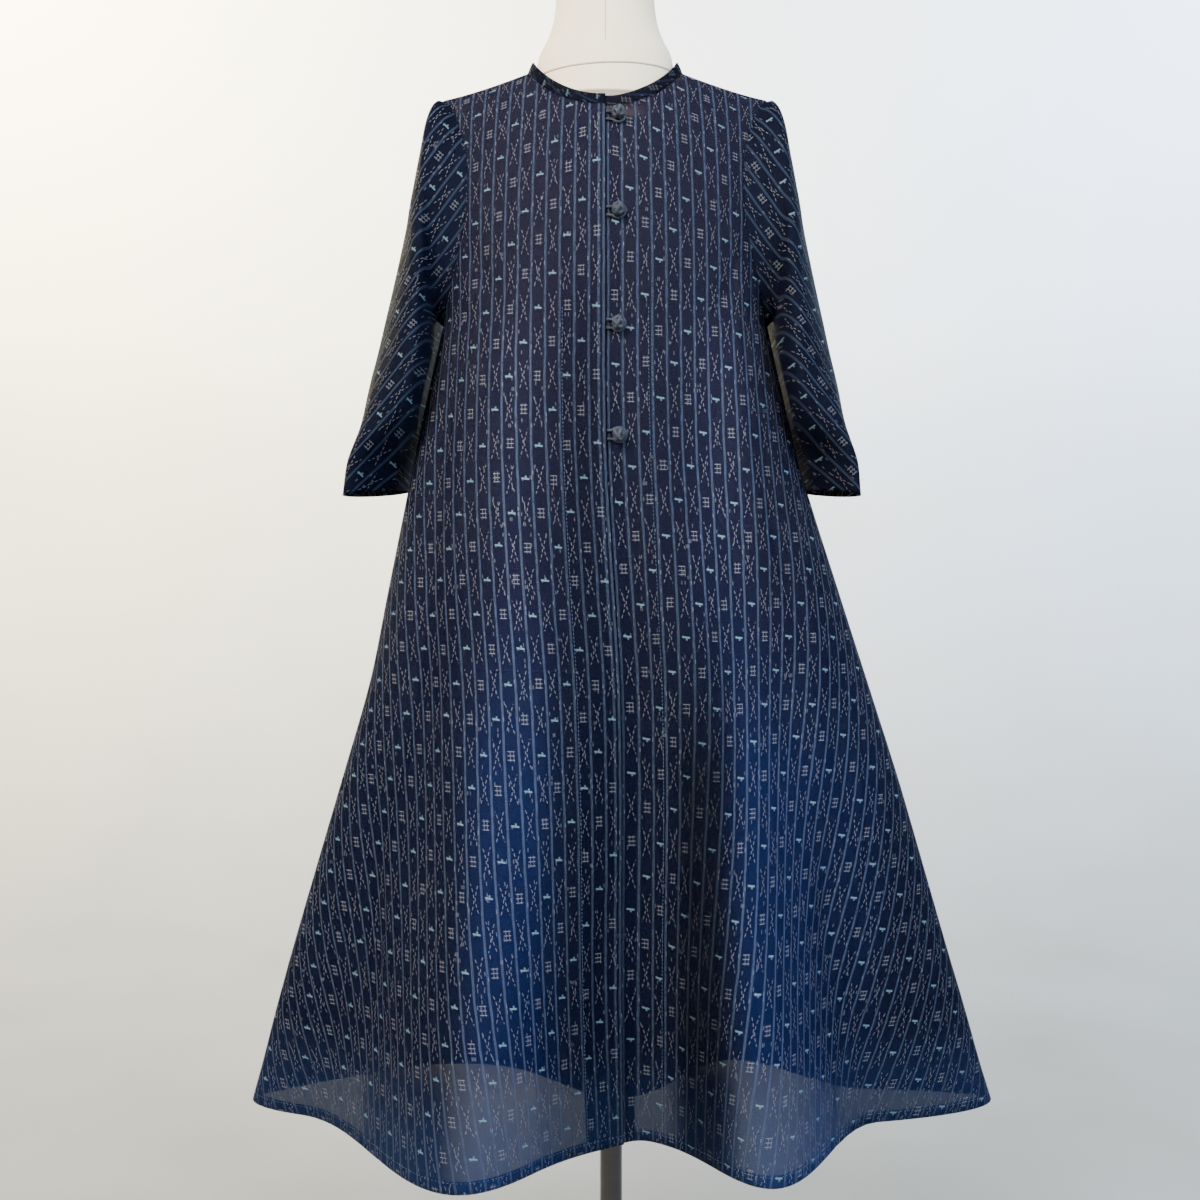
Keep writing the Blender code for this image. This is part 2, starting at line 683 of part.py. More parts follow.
def make_neck_band(finish):
    """One strip that starts under the right front, runs round the neck and ends at the right front's edge."""
    full = 2 * math.pi
    quarter = neck_angles(False)
    angles = neck_angles(True) + [math.pi - angle for angle in quarter[-2::-1]]
    angles += [math.pi + angle for angle in quarter[1:]] + [full - angle for angle in quarter[-2::-1]]
    places = [neck_place(angle if angle <= math.pi else angle - full) for angle in angles]
    places = [(turn, min(level, RIDGE_LEVEL - BAND_RIDGE_DROP)) for turn, level in places]
    normals = [coat_normal(*place) for place in places]
    foot = [coat_point(*place) for place in places]
    for k, (turn, level) in enumerate(places):
        if angles[k] < QUARTER:
            foot[k] = foot[k] - normals[k] * lap_inset(turn, level)
    inward = [Vector((-point.x, NECK_CENTRE_Y - point.y, 0.0)).normalized() for point in foot]
    lean = [(across * BAND_LEAN + Vector((0, 0, 1))).normalized() for across in inward]
    foot = off_edge(foot, normals, lean, TURNED_SEAM_TRIM)
    grid = [[point + way * BAND_WIDTH * share for point, way in zip(foot, lean)] for share in (0.0, 0.5, 1.0)]
    sheet("neck_band", grid, BAND_CLOTH, finish)


def on_left_front(across, height, out):
    """A point at a distance out from the face of the left front, and the cloth's normal there."""
    half = smooth(COAT, "half_width", min(height, ARMPIT_Z))
    turn, level = (math.asin(across / half), height) if height <= ARMPIT_Z else on_cloth(across, height)
    normal = coat_normal(turn, level)
    return coat_point(turn, level) + normal * (CLOTH / 2 - lap_inset(turn, level) + out), normal


def make_fastenings(finish):
    for number, height in enumerate(KNOT_HEIGHTS, 1):
        centre, normal = on_left_front(KNOT_ACROSS, height, TOUCH + KNOT_RADIUS)
        bpy.ops.mesh.primitive_uv_sphere_add(
            segments=KNOT_SEGMENTS, ring_count=KNOT_RINGS, radius=KNOT_RADIUS, location=centre
        )
        knot = bpy.context.object
        knot.rotation_euler = normal.to_track_quat("Z", "Y").to_euler()
        take_in(knot, f"knot_{number}", finish)
        knot.data.shade_smooth()
        make_loop(number, height, finish)


def make_loop(number, height, finish):
    """A cord that leaves the right front's edge, passes round the foot of the knot and comes back."""
    path = [(LOOP_START, LOOP_HALF), (LOOP_START + 2 * LOOP_CORD, LOOP_HALF)]
    for angle in np.linspace(math.radians(LOOP_OPENING), math.radians(-LOOP_OPENING), LOOP_STEPS):
        path.append((KNOT_ACROSS + LOOP_RADIUS * math.cos(angle), LOOP_RADIUS * math.sin(angle)))
    path += [(LOOP_START + 2 * LOOP_CORD, -LOOP_HALF), (LOOP_START, -LOOP_HALF)]
    line = [on_left_front(across, height + up, TOUCH + LOOP_CORD) for across, up in path]
    rings = []
    for k, (centre, normal) in enumerate(line):
        along = (line[min(k + 1, len(line) - 1)][0] - line[max(k - 1, 0)][0]).normalized()
        beside = normal.cross(along).normalized()
        out = along.cross(beside)
        turns = [2 * math.pi * (corner + 0.5) / LOOP_SIDES for corner in range(LOOP_SIDES)]
        rings.append([centre + (beside * math.cos(t) + out * math.sin(t)) * LOOP_CORD for t in turns])
    closed_loft(f"loop_{number}", rings, finish)


def form_point(turn, level):
    """A point of the form's torso, whose shoulders lie just under the coat's."""
    lift = max(0.0, level - ARMPIT_Z) / YOKE_SCALE
    height = min(level, ARMPIT_Z)
    rise = math.sin(lift)
    half = smooth(FORM, "half_width", height)
    half += (FORM_TIP - half) * rise**FORM_SHOULDER_CURVE if lift > 0 else 0.0
    x = half * math.sin(turn)
    depth = smooth(FORM, "front", height) if math.cos(turn) >= 0 else smooth(FORM, "back", height)
    y = smooth(FORM, "side_y", height) - depth * math.cos(turn) * max(math.cos(lift), 0.0) ** FORM_SLOPE
    z = height
    if lift > 0:
        middle = ARMHOLE[-1].across * (1 - FORM_RIDGE_SHARE)
        ridge = ridge_height(max(abs(x), middle))
        z = ARMPIT_Z + rise * (ridge - FORM_CLEARANCE - CLOTH / 2 - ARMPIT_Z)
    return Vector((x, y, z))


def closed_loft(name, rings, finish):
    """A solid through closed rings of equal count, with a flat face at each end."""
    mesh = bmesh.new()
    rows = [[mesh.verts.new(point) for point in ring] for ring in rings]
    count = len(rings[0])
    for lower, upper in zip(rows, rows[1:]):
        for k in range(count):
            following = (k + 1) % count
            mesh.faces.new((lower[k], lower[following], upper[following], upper[k]))
    mesh.faces.new(rows[0][::-1])
    mesh.faces.new(rows[-1])
    bmesh.ops.triangulate(mesh, faces=[face for face in mesh.faces if len(face.verts) > 4])
    bmesh.ops.recalc_face_normals(mesh, faces=mesh.faces)
    data = bpy.data.meshes.new(name)
    mesh.to_mesh(data)
    mesh.free()
    data.shade_smooth()
    return add_object(name, data, finish)


def make_form(finish):
    """Torso and neck, joined into one smooth solid."""
    turns = [2 * math.pi * k / FORM_SIDES for k in range(FORM_SIDES)]
    levels = [*FORM_LEVELS, *(ARMPIT_Z + YOKE_SCALE * math.radians(lift) for lift in FORM_LIFTS)]
    rings = []
    for level in levels:
        rounding = FORM_EDGE_SHARE if level == FORM_BOTTOM_Z else 1.0
        ring = [form_point(turn, level) for turn in turns]
        rings.append([Vector((p.x * rounding, p.y * rounding, p.z)) for p in ring])
    torso = closed_loft("form", rings, finish)
    neck_rings = []
    for row in FORM_NECK:
        ring = [(row.half_x * math.sin(turn), -row.half_y * math.cos(turn)) for turn in turns]
        neck_rings.append([Vector((x, NECK_CENTRE_Y + y, row.height)) for x, y in ring])
    neck = closed_loft("neck_helper", neck_rings, finish)
    COAT_PARTS.objects.unlink(neck)
    HELPERS.objects.link(neck)
    neck.hide_render = True
    neck.display_type = "WIRE"
    joint = torso.modifiers.new("Neck", "BOOLEAN")
    joint.operation = "UNION"
    joint.object = neck


def make_stand(pole_finish, base_finish):
    bpy.ops.mesh.primitive_cylinder_add(
        vertices=POLE_SIDES,
        radius=POLE_RADIUS,
        depth=FORM_BOTTOM_Z - BOSS_TOP_Z - 2 * TOUCH,
        location=(0, 0, (FORM_BOTTOM_Z + BOSS_TOP_Z) / 2),
    )
    take_in(bpy.context.object, "pole", pole_finish)
    edge = BASE_EDGE
    profile = [
        (0.0, BOSS_TOP_Z),
        (BOSS_RADIUS - edge, BOSS_TOP_Z),
        (BOSS_RADIUS, BOSS_TOP_Z - edge),
        (BOSS_RADIUS + edge, BASE_THICK + 2 * edge),
        (BOSS_RADIUS + 3 * edge, BASE_THICK),
        (BASE_RADIUS - edge, BASE_THICK - edge / 2),
        (BASE_RADIUS, BASE_THICK - 2 * edge),
        (BASE_RADIUS, 0.0),
        (0.0, 0.0),
    ]
    data = bpy.data.meshes.new("base")
    data.from_pydata([(x, 0, z) for x, z in profile], [(k, k + 1) for k in range(len(profile) - 1)], [])
    base = add_object("base", data, base_finish)
    turned = base.modifiers.new("Turned profile", "SCREW")
    turned.angle = 2 * math.pi
    turned.steps = BASE_SIDES
    turned.render_steps = BASE_SIDES
    turned.use_merge_vertices = True
    turned.merge_threshold = 0.0001


for old in list(bpy.data.objects):
    bpy.data.objects.remove(old, do_unlink=True)
PANELS = {}
COAT_PARTS = collection("Kimono summer coat")
HELPERS = collection("Helpers")
HELPERS.hide_render = True
gauze = material("Indigo gauze", (0.018, 0.026, 0.075), 0.75)
lined = material("Doubled gauze", (0.012, 0.017, 0.050), 0.75)
cord = material("Cloth cord", (0.050, 0.065, 0.120), 0.8)
jersey = material("Ivory jersey", (0.78, 0.72, 0.60), 0.85)
metal = material("Brushed pole", (0.42, 0.36, 0.30), 0.35, 0.9)
paint = material("Painted base", (0.55, 0.50, 0.44), 0.5)
make_panels(gauze)
make_facings(lined)
make_pockets(lined)
make_sleeves(gauze)
make_neck_band(lined)
make_fastenings(cord)
make_form(jersey)
make_stand(metal, paint)
for made in list(COAT_PARTS.objects) + list(HELPERS.objects):
    if made.name not in ("pole", "base"):
        made.location.x += BODY_X
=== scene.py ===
"""The looks of a kimono summer coat on its dress form, in sheer indigo gauze with stripes and kasuri figures.

Metres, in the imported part's own frame. The coat's cloth is one smooth surface, cloth(turn, level): turn is
the angle round the body from the centre front, positive to the wearer's left, and level runs up the cloth.
"""

import math
from collections import namedtuple

import bmesh
import bpy
import numpy as np
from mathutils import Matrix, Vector


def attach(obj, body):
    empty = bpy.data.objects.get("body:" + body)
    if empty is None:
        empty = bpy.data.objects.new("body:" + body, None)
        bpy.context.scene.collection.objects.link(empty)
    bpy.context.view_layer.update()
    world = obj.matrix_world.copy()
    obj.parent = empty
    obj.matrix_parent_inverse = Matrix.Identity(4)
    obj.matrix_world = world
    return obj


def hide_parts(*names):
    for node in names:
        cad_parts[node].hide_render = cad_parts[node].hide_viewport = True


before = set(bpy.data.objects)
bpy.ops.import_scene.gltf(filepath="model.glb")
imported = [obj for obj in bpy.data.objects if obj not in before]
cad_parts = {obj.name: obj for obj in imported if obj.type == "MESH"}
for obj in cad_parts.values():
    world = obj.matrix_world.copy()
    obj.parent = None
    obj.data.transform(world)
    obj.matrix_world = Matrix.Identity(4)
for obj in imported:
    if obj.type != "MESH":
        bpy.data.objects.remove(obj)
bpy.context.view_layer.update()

SIDES = ((-1, "right"), (1, "left"))
QUARTER = math.pi / 2

# Cloth
GAUZE = 0.0005
DOUBLED = 0.0008
LAYER = 0.0011
HEM_TURN = 0.0130
CUFF_TURN = 0.0150
MARGIN = 0.0065
SEAM_DIP = 0.0006

# Heights of the coat
HEM_Z = 0.33
ARMPIT_Z = 1.265
TIP_Z = 1.533
RIDGE_Z = 1.600
YOKE_SCALE = 0.28
RIDGE_CURVE = 1.3
YOKE_HALF = 0.199
RIDGE_LEVEL = ARMPIT_Z + YOKE_SCALE * QUARTER
ABOVE_HEM_Z = HEM_Z + HEM_TURN + 0.002

# Neckline
NECK_HALF = 0.090
NECK_FRONT_Z = 1.500
NECK_BACK_Z = 1.558
NECK_CURVE = 1.3
NECK_CENTRE_Y = -0.016
BAND_WIDTH = 0.0138
BAND_LEAN = 0.45
BAND_START = 0.0003
BAND_PUFF = 0.0004
BAND_BIAS = 0.35

# Front opening
OVERLAP = 0.033
FACING_WIDTH = 0.049
SINK = 0.0038
SINK_FADE = (0.006, 0.050)

# Fastenings
KNOT_RADIUS = 0.0082
KNOT_CORD = 0.0021
KNOT_TURNS = 3
KNOT_BIGHTS = 4
KNOT_ACROSS = 0.0140
KNOT_HEIGHTS = (1.4865, 1.373, 1.2475, 1.1255)
LOOP_CORD = 0.0015
LOOP_RADIUS = 0.0080
LOOP_START = 0.0010
LOOP_HALF = 0.0046
LOOP_OPENING = 140
CAD_CLOTH = 0.0012
TOUCH = 0.0003

# How far a stitch is turned by chance, in radians
STITCH_TURN = 0.08

# Pockets
POCKET_TOP_Z = 0.994
POCKET_BOTTOM_Z = 0.815
POCKET_DEPTH = 0.052
POCKET_ROUNDED = 0.22
POCKET_SLANTED = 0.62

# Dress form and stand
FORM_BOTTOM_Z = 0.865
FORM_CLEARANCE = 0.0007
FORM_TIP = 0.176
FORM_SLOPE = 1.5
FORM_RIDGE_SHARE = 0.56
FORM_NECK_TOP_Z = 1.668
FORM_NECK_SEAM_Z = 1.551
FORM_ROUNDING = 0.007
SEAM_TAPE = 0.0006
NECK_TAPE = 0.0012
POLE_RADIUS = 0.0129
BODY_X = -0.007
BASE_RADIUS = 0.160
BASE_THICK = 0.014
BOSS_RADIUS = 0.024
BOSS_TOP_Z = 0.045

# Woven pattern, in metres of cloth: stripes, rows of figures, the figures' half sizes and steps, and how far
# the pattern is shifted on the pieces
STRIPE_PITCH = 0.0162
STRIPE_HALF = 0.0014
EDGE_STRIPE = 0.0055
FIGURE_PITCH = 0.0380
CROSS_RISE = 0.0160
CRIB_RISE = 0.0058
CRIB_REACH = 0.0038
CRIB_STEP = 0.0046
DASH_STEP = 0.0062
DASH = 0.0036
SPECK_STEPS = (0.0018, 0.0058)
SPECKS_FROM = 0.962
PRINT_SHIFT = {"right": (0.0020, 0.0210), "left": (-0.0030, -0.0300), "back": (0.0, 0.0080)}
FACING_SHIFT = (0.0061, 0.011)
POCKET_SHIFT = (0.004, 0.017)
SLEEVE_SHIFT = (0.003, 0.5)
MARGIN_SHIFT = 0.006

# Colours of the gauze
PALE_THREAD = (0.225, 0.230, 0.258)
BIRD_THREAD = (0.165, 0.262, 0.312)
GROUND = (0.0058, 0.0086, 0.0345)
# Painted light: a lighter, greyer ground for higher up the coat, standing in for the light from above and the
# ivory form showing through the gauze
TOP_LIT_GROUND = (0.0208, 0.0192, 0.0425)
LIT_HEM = (0.0129, 0.0306, 0.0998)
STRIPE = (0.050, 0.064, 0.106)
SLEEVE_GROUND = (0.0070, 0.0086, 0.0225)
SLEEVE_STRIPE = (0.026, 0.036, 0.064)
DOUBLED_GROUND = (0.0035, 0.0055, 0.0160)
# Painted light: the doubled gauze's lighter ground for higher up, in the same way
TOP_LIT_DOUBLED = (0.0055, 0.0061, 0.0137)
DOUBLED_STRIPE = (0.010, 0.014, 0.029)
DEEPEST = (0.0006, 0.0009, 0.0025)
BLUE_FALL = (0.008, 0.030, 0.150)

# Zones by height: where each one starts, going down, and over what height it grows
Zone = namedtuple("Zone", "top fade")
SKIRT = Zone(0.98, 0.22)
WAIST = Zone(1.34, 0.14)
LOW_HEM = Zone(0.47, 0.05)
# Painted light: the zone over which the lighter ground of higher up fades out going down
PAINTED_TOP_LIGHT = Zone(1.35, 0.60)
LIT = Zone(0.45, 0.09)

# Where a sleeve's side towards the body is: nearer to the middle than a reach that shrinks going up
INNER_REACH = 0.466
INNER_SLOPE = 0.2
INNER_FADE = 0.012

# Soft upright falls of light and shade. across is a fall's middle as seen from in front, mirrored behind.
# They fade where the cloth turns to the side, over a depth from the middle plane, and are weaker behind.
FALLS_DEPTH = 0.11
FALLS_LESS_BEHIND = 0.4
Fall = namedtuple("Fall", "zone across half soft share")
LIGHT_FALLS = (
    Fall("skirt", -0.110, 0.045, 0.040, 1.0),
    Fall("skirt", 0.225, 0.095, 0.040, 1.0),
    Fall("waist", -0.108, 0.026, 0.040, 0.8),
    Fall("waist", 0.125, 0.036, 0.040, 0.8),
)
DARK_FALLS = (
    Fall("skirt", 0.098, 0.026, 0.024, 0.34),
    Fall("skirt", 0.008, 0.034, 0.050, 0.12),
    Fall("waist", -0.030, 0.022, 0.034, 0.14),
)
COVER_FALLS = (
    Fall("hem", -0.118, 0.036, 0.020, -0.05),
    Fall("hem", 0.166, 0.034, 0.020, -0.05),
    Fall("hem", -0.228, 0.052, 0.020, 0.16),
    Fall("hem", 0.250, 0.028, 0.020, 0.06),
    Fall("hem", 0.098, 0.026, 0.024, 0.20),
)

# The picture
CAMERA_PLACE = (-0.013, -1.7, 0.945)
CAMERA_LENS = 43.44

# Cross-sections of the coat by height. side_y is where its sides are, and front and back reach from there.
Section = namedtuple("Section", "height half_width centre side_y front back")
COAT = (
    Section(0.330, 0.4555, 0.021, 0.090, 0.113, 0.045),
    Section(0.380, 0.4390, 0.020, 0.078, 0.117, 0.052),
    Section(0.450, 0.4180, 0.019, 0.064, 0.123, 0.063),
    Section(0.530, 0.3930, 0.018, 0.050, 0.128, 0.080),
    Section(0.650, 0.3560, 0.018, 0.035, 0.133, 0.098),
    Section(0.735, 0.3300, 0.018, 0.028, 0.135, 0.107),
    Section(0.850, 0.2940, 0.016, 0.020, 0.136, 0.112),
    Section(0.950, 0.2670, 0.010, 0.014, 0.134, 0.113),
    Section(1.090, 0.2300, 0.002, 0.008, 0.129, 0.110),
    Section(1.180, 0.2090, 0.000, 0.005, 0.125, 0.107),
    Section(1.265, 0.1900, 0.000, 0.005, 0.122, 0.105),
)

# Deep folds of the skirt, which grow from their top down to depth at the hem. across runs from -1 to 1.
Fold = namedtuple("Fold", "face across spread depth top growth")
FOLDS = (
    Fold("front", -0.39, 0.45, 0.190, 1.12, 1.6),
    Fold("front", 0.34, 0.32, 0.172, 1.12, 1.6),
    Fold("front", 0.00, 0.22, 0.034, 0.90, 1.2),
    Fold("back", -0.42, 0.38, 0.090, 1.16, 1.6),
    Fold("back", -0.72, 0.33, 0.050, 0.95, 1.3),
    Fold("back", 0.34, 0.32, 0.105, 1.16, 1.6),
    Fold("back", 0.00, 0.28, -0.040, 0.95, 1.2),
)

# Small creases. along is the distance on the cloth from the centre front or back, positive to the wearer's
# left. bow bends the crease sideways, and a depth above zero is a ridge, below zero a trough.
Crease = namedtuple("Crease", "face along height to_along to_height bow depth width")
CREASES = (
    Crease("front", -0.095, 1.300, -0.135, 0.820, 0.010, 0.0045, 0.026),
    Crease("front", -0.055, 1.180, -0.062, 0.700, -0.006, -0.0050, 0.022),
    Crease("front", -0.150, 1.120, -0.215, 0.640, 0.012, 0.0050, 0.024),
    Crease("front", -0.185, 1.240, -0.245, 0.900, -0.008, -0.0045, 0.018),
    Crease("front", -0.245, 0.980, -0.330, 0.470, 0.014, 0.0050, 0.026),
    Crease("front", -0.300, 0.860, -0.395, 0.400, -0.010, -0.0045, 0.022),
    Crease("front", 0.060, 1.240, 0.066, 0.740, 0.008, 0.0040, 0.024),
    Crease("front", 0.105, 1.060, 0.135, 0.520, -0.010, -0.0060, 0.026),
    Crease("front", 0.155, 1.300, 0.190, 0.860, 0.012, 0.0050, 0.022),
    Crease("front", 0.215, 1.050, 0.275, 0.560, -0.010, 0.0050, 0.026),
    Crease("front", 0.260, 0.900, 0.345, 0.440, 0.012, -0.0045, 0.022),
    Crease("front", -0.165, 1.360, -0.110, 1.265, 0.006, -0.0022, 0.012),
    Crease("front", 0.165, 1.350, 0.118, 1.250, -0.006, -0.0020, 0.012),
    Crease("front", -0.020, 0.640, -0.026, 0.380, 0.004, -0.0040, 0.016),
    Crease("back", -0.070, 1.330, -0.090, 0.780, 0.010, 0.0050, 0.024),
    Crease("back", 0.030, 1.240, 0.026, 0.720, -0.008, -0.0040, 0.022),
    Crease("back", 0.110, 1.280, 0.140, 0.760, 0.010, 0.0055, 0.026),
    Crease("back", 0.180, 1.120, 0.235, 0.600, -0.010, -0.0045, 0.022),
    Crease("back", -0.150, 1.160, -0.205, 0.620, 0.012, -0.0045, 0.022),
    Crease("back", -0.235, 0.960, -0.320, 0.450, -0.012, 0.0050, 0.026),
    Crease("back", 0.270, 0.880, 0.350, 0.420, 0.012, 0.0045, 0.024),
    Crease("back", 0.150, 1.370, 0.100, 1.280, 0.006, -0.0018, 0.012),
)

# How far along the cloth the side pieces' seams lie from the centre of the fronts and of the back
SeamPlace = namedtuple("SeamPlace", "height right left back")
SIDE_PIECE_SEAM = (
    SeamPlace(0.330, 0.365, 0.365, 0.365),
    SeamPlace(0.420, 0.362, 0.362, 0.360),
    SeamPlace(0.530, 0.347, 0.352, 0.345),
    SeamPlace(0.650, 0.318, 0.338, 0.320),
    SeamPlace(0.780, 0.268, 0.315, 0.275),
    SeamPlace(0.930, 0.224, 0.288, 0.230),
    SeamPlace(1.000, 0.208, 0.268, 0.212),
    SeamPlace(1.090, 0.194, 0.228, 0.195),
    SeamPlace(1.180, 0.184, 0.196, 0.184),
    SeamPlace(1.265, 0.178, 0.180, 0.178),
)

# The armhole as seen from in front, from the underarm to the shoulder tip
Edge = namedtuple("Edge", "height across")
ARMHOLE = (
    Edge(1.2650, 0.1900),
    Edge(1.2730, 0.1868),
    Edge(1.2950, 0.1800),
    Edge(1.3300, 0.1700),
    Edge(1.3750, 0.1605),
    Edge(1.4200, 0.1575),
    Edge(1.4600, 0.1605),
    Edge(1.5000, 0.1720),
    Edge(1.5220, 0.1820),
    Edge(1.5330, 0.1900),
)
# The row of this table where the seam between a wide piece and its side piece ends
SEAM_TOP_ROW = 3

# Rings of a sleeve from the shoulder to the cuff. lean turns the outer fold to the front, in degrees, and
# tuck draws the inner back towards the body.
Ring = namedtuple("Ring", "outer_x outer_z inner_x inner_z y half_y lean tuck")
SLEEVE = (
    Ring(0.2010, 1.5240, 0.1980, 1.2720, 0.000, 0.062, 0, 0.000),
    Ring(0.2175, 1.4620, 0.1990, 1.2500, -0.003, 0.072, -8, 0.010),
    Ring(0.2335, 1.3850, 0.2020, 1.2240, -0.005, 0.077, -20, 0.022),
    Ring(0.2500, 1.3180, 0.2070, 1.1960, -0.006, 0.079, -28, 0.032),
    Ring(0.2660, 1.2500, 0.2135, 1.1680, -0.005, 0.078, -28, 0.034),
    Ring(0.2785, 1.1800, 0.2220, 1.1390, -0.004, 0.075, -8, 0.028),
    Ring(0.2905, 1.1100, 0.2300, 1.1080, -0.002, 0.071, 42, 0.000),
    Ring(0.2980, 1.0636, 0.2375, 1.0765, 0.000, 0.068, 52, 0.000),
)
LEFT_SLEEVE_NARROWER = 0.008
UPPER_STEPS = 36
LOWER_STEPS = 27
SLEEVE_PLAIN = 0.05
TUCK_CURVE = 1.5
BACK_TUCK = 0.016

# Creases of a sleeve: distances round it from the outer fold, positive over the front, and down it.
SleeveCrease = namedtuple("SleeveCrease", "around down to_around to_down depth width")
SLEEVE_CREASES = (
    SleeveCrease(0.030, 0.060, 0.150, 0.150, -0.0010, 0.015),
    SleeveCrease(0.010, 0.120, 0.120, 0.215, 0.0015, 0.016),
    SleeveCrease(0.035, 0.210, 0.135, 0.265, -0.0013, 0.013),
    SleeveCrease(0.060, 0.290, 0.165, 0.330, 0.0014, 0.014),
    SleeveCrease(0.020, 0.330, 0.060, 0.440, -0.0012, 0.014),
    SleeveCrease(-0.030, 0.080, -0.150, 0.170, -0.0014, 0.015),
    SleeveCrease(-0.020, 0.180, -0.120, 0.260, 0.0016, 0.016),
    SleeveCrease(-0.060, 0.290, -0.170, 0.340, -0.0014, 0.014),
)

# How far the stripes of a sleeve run off its own line, by the distance below the shoulder tip
Grain = namedtuple("Grain", "down degrees")
SLEEVE_GRAIN = (Grain(0.0, 10), Grain(0.12, 22), Grain(0.25, 31), Grain(0.50, 32))
SLEEVE_TURN = math.radians(28)
SLEEVE_DEPTH_SHARE = 0.36
SLEEVE_DEPTH_LIMIT = 0.06

FORM = (
    Section(0.865, 0.160, 0.000, 0.000, 0.100, 0.108),
    Section(0.930, 0.163, 0.000, 0.000, 0.106, 0.108),
    Section(1.000, 0.147, 0.000, 0.000, 0.099, 0.094),
    Section(1.090, 0.120, 0.000, 0.000, 0.084, 0.078),
    Section(1.180, 0.134, 0.000, 0.002, 0.100, 0.086),
    Section(1.265, 0.150, 0.000, 0.005, 0.112, 0.096),
)
Neck = namedtuple("Neck", "height half_x half_y")
FORM_NECK = (
    Neck(1.520, 0.078, 0.0520),
    Neck(1.560, 0.079, 0.0540),
    Neck(1.577, 0.076, 0.0530),
    Neck(1.592, 0.068, 0.0520),
    Neck(1.612, 0.061, 0.0510),
    Neck(1.636, 0.0575, 0.0505),
    Neck(1.660, 0.0565, 0.0500),
    Neck(FORM_NECK_TOP_Z, 0.053, 0.0465),
)


def ease(share):
    share = np.clip(share, 0.0, 1.0)
    return share * share * (3 - 2 * share)


def column_of(rows, name, height):
    """A table's column at some heights, on a smooth curve through its rows."""
    heights = np.array([row.height for row in rows])
    values = np.array([getattr(row, name) for row in rows])
    last = len(rows) - 1
    places = np.arange(last + 1)
    before, after = np.maximum(places - 1, 0), np.minimum(places + 1, last)
    slopes = (values[after] - values[before]) / (heights[after] - heights[before])
    height = np.clip(height, heights[0], heights[-1])
    low = np.clip(np.searchsorted(heights, height) - 1, 0, last - 1)
    span = heights[low + 1] - heights[low]
    t = (height - heights[low]) / span
    return (
        (2 * t**3 - 3 * t**2 + 1) * values[low]
        + (t**3 - 2 * t**2 + t) * span * slopes[low]
        + (3 * t**2 - 2 * t**3) * values[low + 1]
        + (t**3 - t**2) * span * slopes[low + 1]
    )


def fold_depth(face, across, height):
    total = np.zeros(np.broadcast(across, height).shape)
    for fold in FOLDS:
        if fold.face == face:
            away = np.minimum(np.abs(across - fold.across) / fold.spread, 1.0)
            grown = np.maximum((fold.top - height) / (fold.top - HEM_Z), 0.0) ** fold.growth
            total = total + fold.depth * grown * np.cos(away * QUARTER) ** 2
    return total


def ridge_height(across):
    share = np.maximum(0.0, 1 - np.abs(across) / ARMHOLE[-1].across)
    return TIP_Z + (RIDGE_Z - TIP_Z) * share**RIDGE_CURVE


def yoke_half(lift):
    return COAT[-1].half_width + (YOKE_HALF - COAT[-1].half_width) * np.sin(lift) ** 2


def bare_cloth(turn, level):
    """The middle of the cloth without its small creases."""
    turn, level = np.broadcast_arrays(np.asarray(turn, float), np.asarray(level, float))
    lift = np.maximum(0.0, level - ARMPIT_Z) / YOKE_SCALE
    height = np.minimum(level, ARMPIT_Z)
    across, facing = np.sin(turn), np.cos(turn)
    half = np.where(lift > 0, yoke_half(lift), column_of(COAT, "half_width", height))
    x = column_of(COAT, "centre", height) + half * across
    front = column_of(COAT, "front", height) * facing + fold_depth("front", across, height)
    back = -column_of(COAT, "back", height) * facing + fold_depth("back", across, height)
    y = column_of(COAT, "side_y", height) + np.where(facing >= 0, -front, back) * np.cos(lift)
    z = np.where(lift > 0, ARMPIT_Z + np.sin(lift) * (ridge_height(x) - ARMPIT_Z), height)
    return np.stack([x, y, z], -1)


def unit(ways):
    return ways / np.maximum(np.linalg.norm(ways, axis=-1, keepdims=True), 1e-12)


def running(steps):
    """Running sums along the last axis, from 0."""
    return np.concatenate([np.zeros((*steps.shape[:-1], 1)), np.cumsum(steps, axis=-1)], axis=-1)


def distances_along(points):
    """How far along a path each of its points lies."""
    return running(np.linalg.norm(np.diff(points, axis=0), axis=1))


def normal_of(surface, turn, level, step=0.004):
    around = surface(turn + step, level) - surface(turn - step, level)
    upward = surface(turn, level + step) - surface(turn, level - step)
    return unit(np.cross(around, upward))


TABLE_LEVELS = np.linspace(HEM_Z, RIDGE_LEVEL, 181)
TABLE_TURNS = np.linspace(-math.pi, math.pi, 721)
RING_POINTS = bare_cloth(TABLE_TURNS[None, :], TABLE_LEVELS[:, None])
AROUND = running(np.linalg.norm(np.diff(RING_POINTS, axis=1), axis=2))
AROUND = AROUND - AROUND[:, [len(TABLE_TURNS) // 2]]
UPWARD = distances_along(bare_cloth(0.35, TABLE_LEVELS))


def around_at(turn, level):
    """The distance along the cloth from the centre front."""
    row = np.clip((level - HEM_Z) / (RIDGE_LEVEL - HEM_Z), 0, 1) * (len(TABLE_LEVELS) - 1)
    place = np.clip((turn + math.pi) / (2 * math.pi), 0, 1) * (len(TABLE_TURNS) - 1)
    r = np.minimum(row.astype(int), len(TABLE_LEVELS) - 2)
    c = np.minimum(place.astype(int), len(TABLE_TURNS) - 2)
    low = AROUND[r, c] + (AROUND[r, c + 1] - AROUND[r, c]) * (place - c)
    high = AROUND[r + 1, c] + (AROUND[r + 1, c + 1] - AROUND[r + 1, c]) * (place - c)
    return low + (high - low) * (row - r)


def from_back(turn, level):
    """The distance along the cloth from the centre back, positive to the wearer's left."""
    way = np.where(turn >= 0, 1.0, -1.0)
    return around_at(way * math.pi, level) - around_at(turn, level)


